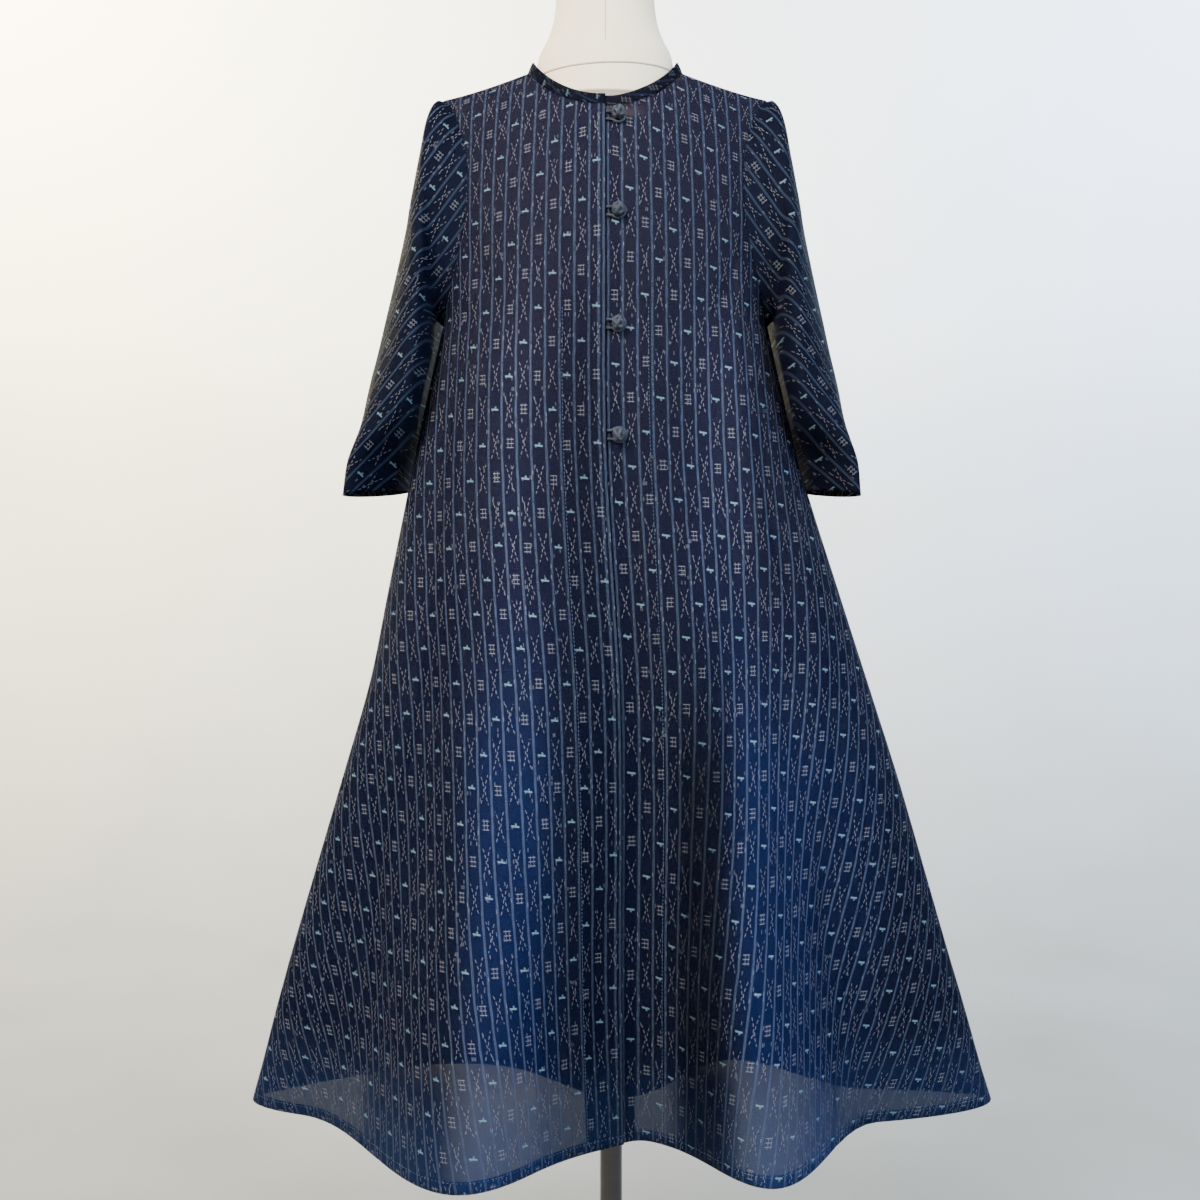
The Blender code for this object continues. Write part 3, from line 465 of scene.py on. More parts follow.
def turns_at(level, distances, side, back=False):
    """The angles at some distances along the cloth from the centre front or back, on one side."""
    level = np.full(TABLE_TURNS.shape, float(level))
    along = around_at(TABLE_TURNS, level)
    wanted = side * np.asarray(distances)
    if back:
        wanted = (along[-1] if side > 0 else along[0]) - wanted
    return np.interp(wanted, along, TABLE_TURNS)


def crease_height(line, along, height):
    """How far one crease lifts the cloth at some places."""
    start, low, end, high, bow, depth, width = line
    run, rise = end - start, high - low
    length = math.hypot(run, rise)
    t = ((along - start) * run + (height - low) * rise) / length**2
    beside = ((along - start) * rise - (height - low) * run) / length - bow * 4 * t * (1 - t)
    ends = np.sin(math.pi * np.clip(t, 0, 1)) ** 0.8
    return depth * np.exp(-((beside / width) ** 2)) * ends


def cloth(turn, level):
    """The middle of the cloth, creases included."""
    turn, level = np.broadcast_arrays(np.asarray(turn, float), np.asarray(level, float))
    front, back = around_at(turn, level), from_back(turn, level)
    raised = np.zeros(turn.shape)
    for crease in CREASES:
        along = front if crease.face == "front" else back
        on_face = ease((np.cos(turn) if crease.face == "front" else -np.cos(turn)) * 4)
        raised = raised + crease_height(crease[1:], along, level) * on_face
    raised = raised * np.cos(np.clip((level - ARMPIT_Z) / YOKE_SCALE, 0, QUARTER))
    return bare_cloth(turn, level) + normal_of(bare_cloth, turn, level) * raised[..., None]


def seam_along(level, side, back):
    column = "back" if back else "left" if side > 0 else "right"
    return column_of(SIDE_PIECE_SEAM, column, level)


def lap_inset(turn, level):
    """How far the left front and its band lie under the right front."""
    beyond = column_of(COAT, "half_width", np.minimum(level, ARMPIT_Z)) * np.sin(turn)
    return SINK * (1 - ease((beyond - SINK_FADE[0]) / (SINK_FADE[1] - SINK_FADE[0])))


def catmull(rows, places):
    """Points on the smooth curve through rows, at row numbers that may be fractions."""
    rows = np.asarray(rows, float)
    last = len(rows) - 1
    padded = np.concatenate([[2 * rows[0] - rows[1]], rows, [2 * rows[last] - rows[last - 1]]])
    places = np.asarray(places, float)
    index = np.minimum(places.astype(int), last - 1)
    t = (places - index).reshape((-1,) + (1,) * (rows.ndim - 1))
    before, start, end, after = (padded[index + k] for k in range(4))
    return 0.5 * (
        2 * start
        + (end - before) * t
        + (2 * before - 5 * start + 4 * end - after) * t**2
        + (3 * start - before - 3 * end + after) * t**3
    )


def on_cloth(across, height, back=False):
    """Turn and level of places above the armpits on the wearer's left, given as seen from the front."""
    rise = (height - ARMPIT_Z) / (ridge_height(across) - ARMPIT_Z)
    lift = np.arcsin(np.clip(rise, 0.0, 1.0))
    turn = np.arcsin(np.clip(across / yoke_half(lift), -1.0, 1.0))
    return np.stack([math.pi - turn if back else turn, ARMPIT_Z + YOKE_SCALE * lift], -1)


def even_steps(points, steps):
    """How far along a path of points each of some even steps lies, as numbers of points."""
    along = distances_along(points)
    return np.interp(np.linspace(0, along[-1], steps + 1), along, np.arange(len(along)))


def armhole_places(first, last, steps, back):
    """Places on the armhole between two rows of its table, at even distances along the cloth."""
    seen_places = catmull([(row.across, row.height) for row in ARMHOLE], np.linspace(first, last, 241))
    curve = on_cloth(seen_places[:, 0], seen_places[:, 1], back)
    at = even_steps(bare_cloth(curve[:, 0], curve[:, 1]), steps)
    return np.stack([np.interp(at, np.arange(len(curve)), curve[:, k]) for k in (0, 1)], -1)


def neck_places(angles):
    """Turn and level of the neckline at angles round the neck from the centre front."""
    across, facing = NECK_HALF * np.sin(angles), np.cos(angles)
    in_front = facing >= -1e-9
    side_z = ridge_height(NECK_HALF)
    lowest_z = np.where(in_front, NECK_FRONT_Z, NECK_BACK_Z)
    height = side_z - (side_z - lowest_z) * np.abs(facing) ** NECK_CURVE
    front = on_cloth(np.abs(across), height)
    turn = np.where(in_front, front[:, 0], math.pi - front[:, 0])
    return np.stack([np.where(across >= 0, turn, -turn), front[:, 1]], -1)


def between(start, end, steps):
    share = np.linspace(0, 1, steps + 1)[:, None]
    return np.asarray(start) + (np.asarray(end) - np.asarray(start)) * share


def blended(bottom, top, left, right, pull=1):
    """Places inside a patch, blended from its edges. A greater pull keeps its sides' curves at the sides."""
    def shares(edge):
        along = distances_along(edge)
        return along / along[-1]

    u, r = shares(bottom)[None, :, None], shares(right)[:, None, None]
    at_start = left[:, None, :] - (1 - r) * bottom[0] - r * top[0]
    at_end = right[:, None, :] - (1 - r) * bottom[-1] - r * top[-1]
    return (1 - r) * bottom[None] + r * top[None] + (1 - u) ** pull * at_start + u**pull * at_end


def seen(places):
    """Places above the armpits as their distance across and their lift."""
    lift = (places[..., 1] - ARMPIT_Z) / YOKE_SCALE
    return np.stack([np.abs(np.sin(places[..., 0])) * yoke_half(lift) * np.sign(places[..., 0]), lift], -1)


def unseen(places, back):
    turn = np.arcsin(np.clip(places[..., 0] / yoke_half(places[..., 1]), -1.0, 1.0))
    return np.stack([math.pi - turn if back else turn, ARMPIT_Z + YOKE_SCALE * places[..., 1]], -1)


# Rows and columns of the panels. PATCH_ROW is where the patch below the armhole starts on a side piece.
BODY_ROWS = 150
YOKE_ROWS = 64
SEAM_TOP_ROWS = 12
WIDE_COLUMNS = 62
NECK_SHARE = 0.58
SIDE_COLUMNS = 30
PATCH_ROW = 133
HOLE_STEPS = 400


def column_shares(count):
    """Even steps from 0 to 1 with two closer ones beside each end, where the seams dip in."""
    inner = np.linspace(0.012, 0.988, count - 3)
    return np.concatenate([[0.0, 0.004], inner, [0.996, 1.0]])


def level_rows(turns, levels):
    """Places in rows, with a row of turns at each level."""
    turns = np.array(turns)
    return np.stack([turns, np.repeat(levels[:, None], turns.shape[1], axis=1)], -1)


def seam_turns(levels, side, back):
    """The angles of the seam between a wide piece and its side piece."""
    return np.array([turns_at(level, [seam_along(level, side, back)], side, back)[0] for level in levels])


def wide_places(side, back, lapped=False):
    """Places of a front or a back: rows from the hem to the shoulder, columns from the centre to its seam."""
    start = -OVERLAP if lapped else 0.0
    share = column_shares(WIDE_COLUMNS)
    levels = np.linspace(HEM_Z, ARMPIT_Z, BODY_ROWS)
    turns = []
    for level in levels:
        distances = start + (seam_along(level, side, back) - start) * share
        turns.append(side * turns_at(level, distances, side, back))
    body = level_rows(turns, levels)
    bottom = body[-1]
    hole = armhole_places(SEAM_TOP_ROW, len(ARMHOLE) - 1, YOKE_ROWS - SEAM_TOP_ROWS, back)
    right = np.concatenate([between(bottom[-1], hole[0], SEAM_TOP_ROWS), hole[1:]])
    neck_columns = int(round(NECK_SHARE * len(share)))
    neck_start = -math.asin(OVERLAP / NECK_HALF) if lapped else 0.0
    angles = neck_start + (QUARTER - neck_start) * share[: neck_columns + 1] / share[neck_columns]
    neck = seen(neck_places(math.pi - angles if back else angles))
    if lapped:
        neck[:, 0] = NECK_HALF * np.sin(angles)
    rest = (share[neck_columns + 1 :] - share[neck_columns]) / (1 - share[neck_columns])
    top = np.concatenate([neck, neck[-1] + (seen(right)[-1] - neck[-1]) * rest[:, None]])
    left = between(seen(bottom)[0], top[0], YOKE_ROWS)
    patch = unseen(blended(seen(bottom), top, left, seen(right), 4), back)
    places = np.concatenate([body, patch[1:]])
    places[..., 0] *= side
    return places


def side_places(side, back):
    """Places of a side piece, columns from its long seam to the side seam, up to the lower armhole."""
    share = column_shares(SIDE_COLUMNS)
    levels = np.linspace(HEM_Z, ARMPIT_Z, BODY_ROWS)
    starts = side * seam_turns(levels, side, back)
    first = starts[:PATCH_ROW, None]
    rows = level_rows(first + (QUARTER - first) * share, levels[:PATCH_ROW])
    hole = armhole_places(SEAM_TOP_ROW, 0, HOLE_STEPS, back)
    at = np.arange(HOLE_STEPS + 1)
    hole = np.stack([np.interp(share * HOLE_STEPS, at, hole[:, k]) for k in (0, 1)], -1)
    left = np.stack([starts[PATCH_ROW - 1:], levels[PATCH_ROW - 1:]], -1)
    left = np.concatenate([left, between(left[-1], hole[0], SEAM_TOP_ROWS)[1:]])
    right = between(rows[-1][-1], (QUARTER, ARMPIT_Z), len(left) - 1)
    places = np.concatenate([rows, blended(rows[-1], hole, left, right)[1:]])
    places[..., 0] *= side
    return places


def turned_hem(places):
    """Rows for the hem that is folded up inside, and how far in each row of the whole panel lies."""
    fold = ((HEM_TURN, LAYER), (HEM_TURN / 2, LAYER), (0.0012, LAYER * 0.95), (0.0, LAYER / 2), (0.0010, 0.0))
    ups, depths = np.array(fold).T
    rows = np.repeat(places[:1], len(fold), axis=0)
    rows[:, :, 1] = HEM_Z + ups[:, None]
    whole = np.concatenate([rows, places[1:]])
    inset = np.zeros(whole.shape[:2])
    inset[: len(fold)] = depths[:, None]
    return whole, inset, len(fold) - 1


def dip_edges(inset, both):
    """Draws the side edge in, or both edges, so that a sewn seam lies in a small valley."""
    for edge, beside in ((-1, -2), (0, 1))[: 1 + both]:
        inset[:, edge] += SEAM_DIP
        inset[:, beside] += SEAM_DIP * 0.5


def cloth_grid(places, inset):
    """Points and normals of the cloth at some places, drawn in by an inset."""
    turn, level = places[..., 0], places[..., 1]
    normals = normal_of(cloth, turn, level)
    return cloth(turn, level) - normals * inset[..., None], normals


def placed(name, data):
    """A new object in the scene."""
    made = bpy.data.objects.new(name, data)
    bpy.context.scene.collection.objects.link(made)
    return made


def link(data, finish):
    made = placed(data.name, data)
    if finish:
        data.materials.append(finish)
    return made


def from_bmesh(name, mesh, finish):
    """A smooth object from a bmesh, which is used up."""
    data = bpy.data.meshes.new(name)
    mesh.to_mesh(data)
    mesh.free()
    data.shade_smooth()
    return link(data, finish)


def worked_out(holder):
    """A new mesh of an object as its bevel or modifiers leave it."""
    evaluated = holder.evaluated_get(bpy.context.evaluated_depsgraph_get())
    return bpy.data.meshes.new_from_object(evaluated)


def loft(rings):
    """A bmesh through rings of points, listed from below. A ring of one point closes an end."""
    mesh = bmesh.new()
    rows = [[mesh.verts.new(point) for point in ring] for ring in rings]
    for low, high in zip(rows, rows[1:]):
        for k in range(max(len(low), len(high))):
            n = k + 1
            corners = (low[k % len(low)], low[n % len(low)], high[n % len(high)], high[k % len(high)])
            mesh.faces.new(list(dict.fromkeys(corners)))
    return mesh


def revolved(profile, steps):
    """A bmesh turned round the upright axis from a profile of radius and height."""
    rings = []
    for radius, height in profile:
        angles = [2 * math.pi * k / steps for k in range(steps if radius else 1)]
        rings.append([(radius * math.cos(angle), radius * math.sin(angle), height) for angle in angles])
    return loft(rings)


def surface_object(name, points, coordinates, finish, thick, split=None, flip=False):
    """A sheet of even thickness through a grid of points, with the cloth's own distances in its UV map.

    With a split the grid closes to a tube, and its UV map is cut open at that column.
    """
    rows, columns = points.shape[:2]
    r = np.arange(rows - 1)[:, None]
    c = np.arange(columns - 1 if split is None else columns)[None, :]
    n = (c + 1) % columns
    at = c if split is None else c + (c >= split)
    quads = np.stack([r * columns + c, r * columns + n, (r + 1) * columns + n, (r + 1) * columns + c], -1)
    corners = [coordinates[r + up, at + on] for up, on in ((0, 0), (0, 1), (1, 1), (1, 0))]
    quads, corners = quads.reshape(-1, 4), np.stack(corners, 2).reshape(-1, 4, 2)
    if flip:
        quads, corners = quads[:, ::-1], corners[:, ::-1]
    data = bpy.data.meshes.new(name)
    shifted = points.reshape(-1, 3) + np.array([BODY_X, 0, 0])
    data.from_pydata(shifted.tolist(), [], quads.tolist())
    chart = data.uv_layers.new(name="cloth")
    chart.data.foreach_set("uv", corners.reshape(-1).astype(np.float32))
    data.shade_smooth()
    made = link(data, finish)
    wall = made.modifiers.new("Cloth thickness", "SOLIDIFY")
    wall.thickness = thick
    wall.offset = 0.0
    return made


def cloth_chart(places, inset_rows, back, shift):
    """The distances across and up the cloth that its woven pattern follows."""
    turn, level = places[..., 0], places[..., 1]
    across = -from_back(turn, level) if back else around_at(turn, level)
    up = np.interp(level, TABLE_LEVELS, UPWARD)
    if inset_rows:
        up[:inset_rows] = -up[:inset_rows]
    return np.stack([across + shift[0], up + shift[1]], -1)


def operator(operation):
    return lambda self, *others: self.work(operation, *others)


class Value:
    """A number socket of a shader. An expression on values adds the Math nodes that work it out."""

    def __init__(self, finish, socket):
        self.finish, self.socket = finish, socket

    def work(self, operation, *others, clamp=False):
        settings = {"operation": operation, "use_clamp": clamp}
        made = self.finish.node("ShaderNodeMath", settings, dict(enumerate((self, *others))))
        return Value(self.finish, made.outputs[0])

    __add__ = __radd__ = operator("ADD")
    __mul__ = __rmul__ = operator("MULTIPLY")
    __sub__ = operator("SUBTRACT")
    __truediv__ = operator("DIVIDE")
    __mod__ = operator("FLOORED_MODULO")
    __gt__ = operator("GREATER_THAN")
    __lt__ = operator("LESS_THAN")
    __abs__ = operator("ABSOLUTE")
    floor = operator("FLOOR")
    most = operator("MAXIMUM")

    def __rsub__(self, other):
        return (self * -1.0) + other

    def held(self):
        """The value kept between 0 and 1."""
        return self.work("ADD", 0.0, clamp=True)


class Finish:
    """A material on its Principled shader, with one method for every node that isn't plain maths."""

    def __init__(self, name, **constants):
        self.material = bpy.data.materials.new(name)
        self.material.use_nodes = True
        self.tree = self.material.node_tree
        self.shader = self.tree.nodes["Principled BSDF"]
        for socket, value in constants.items():
            self.shader.inputs[socket.replace("_", " ")].default_value = value

    def node(self, kind, settings=None, values=None):
        made = self.tree.nodes.new(kind)
        for name, value in (settings or {}).items():
            setattr(made, name, value)
        for name, value in (values or {}).items():
            self.give(made.inputs[name], value)
        return made

    def give(self, socket, value):
        if isinstance(value, Value):
            value = value.socket
        if isinstance(value, bpy.types.NodeSocket):
            self.tree.links.new(value, socket)
        else:
            socket.default_value = (*value, 1.0) if socket.type == "RGBA" else value

    def parts(self, kind, settings, output):
        """The three numbers of a vector that a node gives."""
        vector = self.node(kind, settings).outputs[output]
        numbers = self.node("ShaderNodeSeparateXYZ", values={0: vector}).outputs
        return tuple(Value(self, numbers[k]) for k in range(3))

    def chart(self):
        """The cloth's own distances across and up, in metres."""
        return self.parts("ShaderNodeUVMap", {"uv_map": "cloth"}, "UV")[:2]

    def place(self):
        """The three numbers of the place on the object."""
        return self.parts("ShaderNodeTexCoord", {}, "Object")

    def joined(self, *numbers):
        return self.node("ShaderNodeCombineXYZ", values=dict(enumerate(numbers))).outputs[0]

    def noise(self, *numbers, detail=1.0):
        values = {"Vector": self.joined(*numbers), "Scale": 1.0, "Detail": detail}
        return Value(self, self.node("ShaderNodeTexNoise", values=values).outputs[0])

    def waves(self, rates, detail=1.0):
        """Noise on the object, at rates along x, y and z."""
        return self.noise(*(at * rate for at, rate in zip(self.place(), rates)), detail=detail)

    def random(self, *numbers):
        values = {"Vector": self.joined(*numbers)}
        return Value(self, self.node("ShaderNodeTexWhiteNoise", values=values).outputs[0])

    def mixed(self, share, start, end):
        """A colour between two others."""
        made = self.node("ShaderNodeMix", {"data_type": "RGBA"}, {0: share, 6: start, 7: end})
        return made.outputs[2]

    def bump(self, height, distance, strength=1.0):
        values = {"Height": height, "Distance": distance, "Strength": strength}
        self.give(self.shader.inputs["Normal"], self.node("ShaderNodeBump", values=values).outputs[0])

    def set(self, name, value):
        self.give(self.shader.inputs[name], value)


def bar(value, half, soft=0.0003):
    """1 inside a bar of a half width and 0 outside it, with a soft edge."""
    return ((half - abs(value)) / soft + 0.5).held()


def zone_share(zone, z):
    """From 0 above a zone to 1 in it."""
    return ((zone.top - z) / zone.fade).held()


def summed(falls, zones, way):
    """How strong some falls are together at a distance to one side of the middle."""
    return sum(bar(way - fall.across, fall.half, fall.soft) * zones[fall.zone] * fall.share for fall in falls)


def woven_figures(finish, along, up, tails, slub, pick):
    """How much of the stripes, of the pale figures and of the birds shows at each place of the cloth."""
    column, row = along / STRIPE_PITCH, up / FIGURE_PITCH
    number, storey = column.floor(), row.floor()
    chance = finish.random(number, storey, 4.0)
    across = (column - number - 0.5) * STRIPE_PITCH
    rise = (row - storey - 0.5) * FIGURE_PITCH + (chance - 0.5) * 0.003
    shifted = rise + (chance - 0.5) * 0.002
    kind = (number - storey) % 4.0
    stripe = bar(abs(across) - STRIPE_PITCH / 2, STRIPE_HALF, 0.0006)
    if tails > 0:
        stripe = stripe.most(bar(along + EDGE_STRIPE, STRIPE_HALF, 0.0006))
    stripe = stripe * (slub * 0.5 + pick * 0.3 + 0.45)
    arm = (abs(rise) / 0.0150).work("POWER", 1.5) * 0.0036 + 0.0007
    dash = ((rise + (across > 0.0) * 0.0031 + chance * 0.006) % DASH_STEP) < DASH
    cross = bar(abs(across) - arm, 0.00042, 0.0004) * bar(rise, CROSS_RISE, 0.001) * dash
    cross = cross * ((kind % 2.0) > 0.5) * 0.75
    ticks = bar(((rise + CRIB_STEP / 2) % CRIB_STEP) - CRIB_STEP / 2, 0.00050) * bar(rise, CRIB_RISE)
    ticks = ticks * bar(across + (chance - 0.5) * 0.002, CRIB_REACH, 0.0008) * 0.8
    posts = bar(abs(across - 0.0004) - 0.0018, 0.00036) * bar(shifted, 0.0060, 0.0008)
    crib = ticks.most(posts * 0.6) * (kind < 0.5)
    body = bar(across, 0.0042, 0.0012) * bar(rise + across * 0.12, 0.0010, 0.0005)
    tail = bar(across - 0.0008, 0.0009, 0.0006) * bar(rise - tails * 0.0016, 0.0018, 0.0006)
    second = bar(across + 0.0030, 0.0006, 0.0005) * bar(rise + tails * 0.0008, 0.0014, 0.0006)
    bird = body.most(tail * 0.8).most(second * 0.6) * (kind > 1.5) * (kind < 2.5)
    cell_along, cell_up = along / SPECK_STEPS[0], up / SPECK_STEPS[1]
    inside = bar((cell_along % 1.0) - 0.5, 0.28, 0.2) * bar((cell_up % 1.0) - 0.5, 0.36, 0.1)
    specks = inside * (finish.random(cell_along.floor(), cell_up.floor(), 1.0) > SPECKS_FROM) * 0.5
    return stripe, cross.most(crib).most(specks), bird


def gauze_finish(
    name, tails, cover, stripe_cover, figures, ground, top_lit, stripe_colour, falls=0.0, inner=0.0
):
    """Sheer gauze: stripes of close warp, and kasuri crosses, well cribs and birds between them.

    tails is the way that the birds' tails point, 1 or -1. cover is the share of light that the ground stops,
    and stripes and figures stop stripe_cover more. figures and falls say how strongly those show, and inner
    is more cover on the side towards the body.
    """
    finish = Finish(name)
    finish.shader.inputs["Specular IOR Level"].default_value = 0.02
    along, up = finish.chart()
    wander = finish.noise(along * 55.0, up * 38.0, 2.0, detail=0.0)
    along = along + (wander - 0.5) * 0.0012
    slub = finish.noise(along * 1900.0, up * 80.0, 7.0, detail=0.0)
    pick = finish.noise(along * 90.0, up * 1600.0, 9.0, detail=0.0)
    threads = (slub - 0.5) * 0.7 + (pick - 0.5) * 0.5
    stripe, pale, bird = woven_figures(finish, along, up, tails, slub, pick)
    pale, bird = pale * figures, bird * figures
    x, y, z = finish.place()
    # Painted light: the ground turns lighter and greyer going up, for the light from above and the form seen
    # through the gauze
    shade = finish.mixed(1.0 - zone_share(PAINTED_TOP_LIGHT, z), ground, top_lit)
    shade = finish.mixed((0.26 - threads * 0.4).held(), shade, DEEPEST)
    shade = finish.mixed(zone_share(LIT, z) * 0.5, shade, LIT_HEM)
    tint = finish.mixed(stripe.held(), shade, stripe_colour)
    tint = finish.mixed((pale * (slub * 0.6 + 0.55)).held(), tint, PALE_THREAD)
    tint = finish.mixed((bird * (pick * 0.6 + 0.6)).held(), tint, BIRD_THREAD)
    behind = y > 0.0
    way = x * (1.0 - behind * 2.0)
    strength = (abs(y) / FALLS_DEPTH).held() * (1.0 - behind * FALLS_LESS_BEHIND) * falls
    skirt = zone_share(SKIRT, z)
    zones = {"skirt": skirt, "waist": zone_share(WAIST, z) * (1.0 - skirt), "hem": zone_share(LOW_HEM, z)}
    light = summed(LIGHT_FALLS, zones, way)
    tint = finish.mixed((light * skirt * strength).held() * 0.16, tint, BLUE_FALL)
    shadow = (skirt * 0.06 - light * 0.34 + summed(DARK_FALLS, zones, way)) * strength + 0.37
    finish.set("Base Color", finish.mixed(shadow.held(), tint, DEEPEST))
    stopped = threads * 0.16 + stripe * stripe_cover + pale.most(bird) * stripe_cover * 1.4 + cover
    stopped = stopped + summed(COVER_FALLS, zones, way) * strength
    towards_body = ((INNER_REACH - z * INNER_SLOPE - abs(x - BODY_X)) / INNER_FADE).held()
    stopped = stopped + towards_body * inner
    finish.set("Alpha", stopped.held())
    finish.set("Roughness", slub * 0.2 + 0.62)
    finish.material.use_transparent_shadow = False
    return finish.material


GAUZES = {}
for side, name in SIDES:
    GAUZES[f"front {name}"] = gauze_finish(
        f"Gauze of the {name} front", -side, 0.79, 0.10, 1.0, GROUND, TOP_LIT_GROUND, STRIPE, falls=1.0
    )
    GAUZES[f"sleeve {name}"] = gauze_finish(
        f"Gauze of the {name} sleeve", -side, 0.93, 0.04, 0.85,
        SLEEVE_GROUND, SLEEVE_GROUND, SLEEVE_STRIPE, inner=0.12
    )
doubled = gauze_finish("Doubled gauze", 1, 0.92, 0.04, 0.4, DOUBLED_GROUND, TOP_LIT_DOUBLED, DOUBLED_STRIPE)


def cord_finish():
    """Cords rolled from the same gauze, with its pale warp threads running round on the bias."""
    finish = Finish("Rolled gauze cord")
    x, y, z = finish.place()
    bias = finish.noise((x + z) * 620.0, (x - z) * 2600.0, y * 900.0, detail=2.0)
    fleck = finish.waves((900.0, 900.0, 420.0)) > 0.62
    base = finish.mixed(bias, (0.003, 0.004, 0.009), (0.020, 0.028, 0.052))
    finish.set("Base Color", finish.mixed(fleck * 0.35, base, (0.11, 0.14, 0.17)))
    finish.set("Roughness", bias * 0.25 + 0.55)
    finish.bump(bias, 0.0004, 0.7)
    return finish.material


def grained_finish(name, fine, wide, tints, fleck, rough, bump, metallic=0.0):
    """A finish with fine grain over wide clouds. fine and wide are rates along x, y and z, and a detail.

    The clouds run between the first two tints, and the grain adds a share of the third. rough is how much
    the clouds and the grain roughen it, and its least roughness. bump is the grain's height and strength.
    """
    finish = Finish(name, Metallic=metallic)
    grain = finish.waves(fine[:3], fine[3])
    clouds = finish.waves(wide[:3], wide[3]) if wide else grain
    base = finish.mixed(clouds, tints[0], tints[1])
    finish.set("Base Color", finish.mixed(grain * fleck, base, tints[-1]))
    finish.set("Roughness", clouds * rough[0] + grain * rough[1] + rough[2])
    finish.bump(grain, *bump)
    return finish.material


cord = cord_finish()
jersey = grained_finish(
    "Ivory jersey", (1400.0, 1400.0, 700.0, 2.0), (9.0, 9.0, 7.0, 3.0),
    ((0.95, 0.80, 0.57), (0.98, 0.87, 0.67), (0.80, 0.67, 0.48)), 0.25, (0.0, 0.15, 0.75), (0.0005, 0.6)
)
tape = grained_finish(
    "Form seam", (2200.0, 2200.0, 2200.0, 1.0), None,
    ((0.42, 0.36, 0.26), (0.66, 0.60, 0.47)), 0.0, (0.0, 0.0, 0.8), (0.0002, 0.5)
)
metal = grained_finish(
    "Brushed pole", (40.0, 40.0, 2400.0, 3.0), (30.0, 30.0, 9.0, 3.0),
    ((0.070, 0.060, 0.058), (0.120, 0.112, 0.116), (0.045, 0.041, 0.043)), 0.4, (0.0, 0.25, 0.22),
    (0.0001, 0.4), 1.0
)
enamel = grained_finish(
    "Painted base", (420.0, 420.0, 420.0, 2.0), (18.0, 18.0, 18.0, 4.0),
    ((0.44, 0.40, 0.35), (0.58, 0.54, 0.48)), 0.0, (0.3, 0.0, 0.3), (0.0002, 0.5)
)
thread = grained_finish(
    "Sewing thread", (1800.0, 1800.0, 1800.0, 1.0), None,
    ((0.030, 0.050, 0.110), (0.110, 0.170, 0.290)), 0.0, (0.0, 0.0, 0.55), (0.0001, 0.5)
)


def stand_in(piece, slot, *nodes):
    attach(piece, "root")
    if nodes:
        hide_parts(*nodes)


def make_panel(name, side, back, places, both_sewn, lapped=False):
    """One width of cloth with its hem turned up inside."""
    whole, inset, folded = turned_hem(places)
    dip_edges(inset, both_sewn)
    if lapped:
        inset = inset + lap_inset(whole[..., 0], whole[..., 1])
    points, _ = cloth_grid(whole, inset)
    of_side = "left" if side > 0 else "right"
    chart = cloth_chart(whole, folded, back, PRINT_SHIFT["back" if back else of_side])
    finish = GAUZES[f"front {of_side}"]
    piece = surface_object(f"cloth_{name}", points, chart, finish, GAUZE, flip=(side > 0) == back)
    stand_in(piece, "gauze", name)


def make_body():
    for side, name in SIDES:
        for back, face in ((False, "front"), (True, "back")):
            lapped = side > 0 and not back
            wide = wide_places(side, back, lapped)
            make_panel(f"{face}_{name}", side, back, wide, both_sewn=back, lapped=lapped)
            make_panel(f"{face}_side_{name}", side, back, side_places(side, back), both_sewn=True)


def facing_places(side):
    """Places of the strip behind a front edge, from the turned hem up to the neckline."""
    start = -OVERLAP if side > 0 else 0.0
    columns, rows, neck_rows = 12, 150, 41
    levels = np.linspace(HEM_Z + 0.0035, ARMPIT_Z, rows)
    distances = np.linspace(start + 0.0006, start + FACING_WIDTH, columns)
    body = level_rows([side * turns_at(level, distances, side) for level in levels], levels)
    top = seen(neck_places(np.arcsin(distances / NECK_HALF)))
    top[:, 0] = distances
    top[:, 1] -= 0.004 / YOKE_SCALE
    low = seen(body[-1])
    patch = low + (top - low) * np.linspace(0, 1, neck_rows)[:, None, None]
    places = np.concatenate([body, unseen(patch[1:], False)])
    places[..., 0] *= side
    return places


def inner_piece(name, side, places, inset, shift, thick):
    """A piece of doubled gauze behind a front."""
    points, _ = cloth_grid(places, inset)
    chart = cloth_chart(places, 0, False, shift)
    piece = surface_object(f"cloth_{name}", points, chart, doubled, thick, flip=side < 0)
    stand_in(piece, "doubled_gauze", name)


def make_facings():
    for side, name in SIDES:
        places = facing_places(side)
        inset = np.full(places.shape[:2], 1.6 * LAYER)
        if side > 0:
            inset = inset + lap_inset(places[..., 0], places[..., 1])
        inner_piece(f"facing_{name}", side, places, inset, FACING_SHIFT, GAUZE)


def make_pockets():
    """Flat bags behind the fronts, hung from the seam of the side piece, with a rounded lower corner."""
    columns, count = 16, 44
    for side, name in SIDES:
        rows = []
        levels = np.linspace(POCKET_BOTTOM_Z + 0.001, POCKET_TOP_Z - 0.001, count)
        for level in levels:
            up = (level - POCKET_BOTTOM_Z) / (POCKET_TOP_Z - POCKET_BOTTOM_Z)
            rounding = 0.30 + 0.70 * math.sin(QUARTER * min(1.0, up / POCKET_ROUNDED)) ** 0.6
            slant = 1 - 0.3 * max(0.0, (up - POCKET_SLANTED) / (1 - POCKET_SLANTED))
            seam = seam_along(level, side, False)
            distances = np.linspace(seam - POCKET_DEPTH * rounding * slant, seam - 0.002, columns)
            rows.append(turns_at(level, distances, side))
        places = level_rows(rows, levels)
        inset = np.full(places.shape[:2], 2.4 * LAYER)
        inner_piece(f"pocket_{name}", side, places, inset, POCKET_SHIFT, 2 * GAUZE)


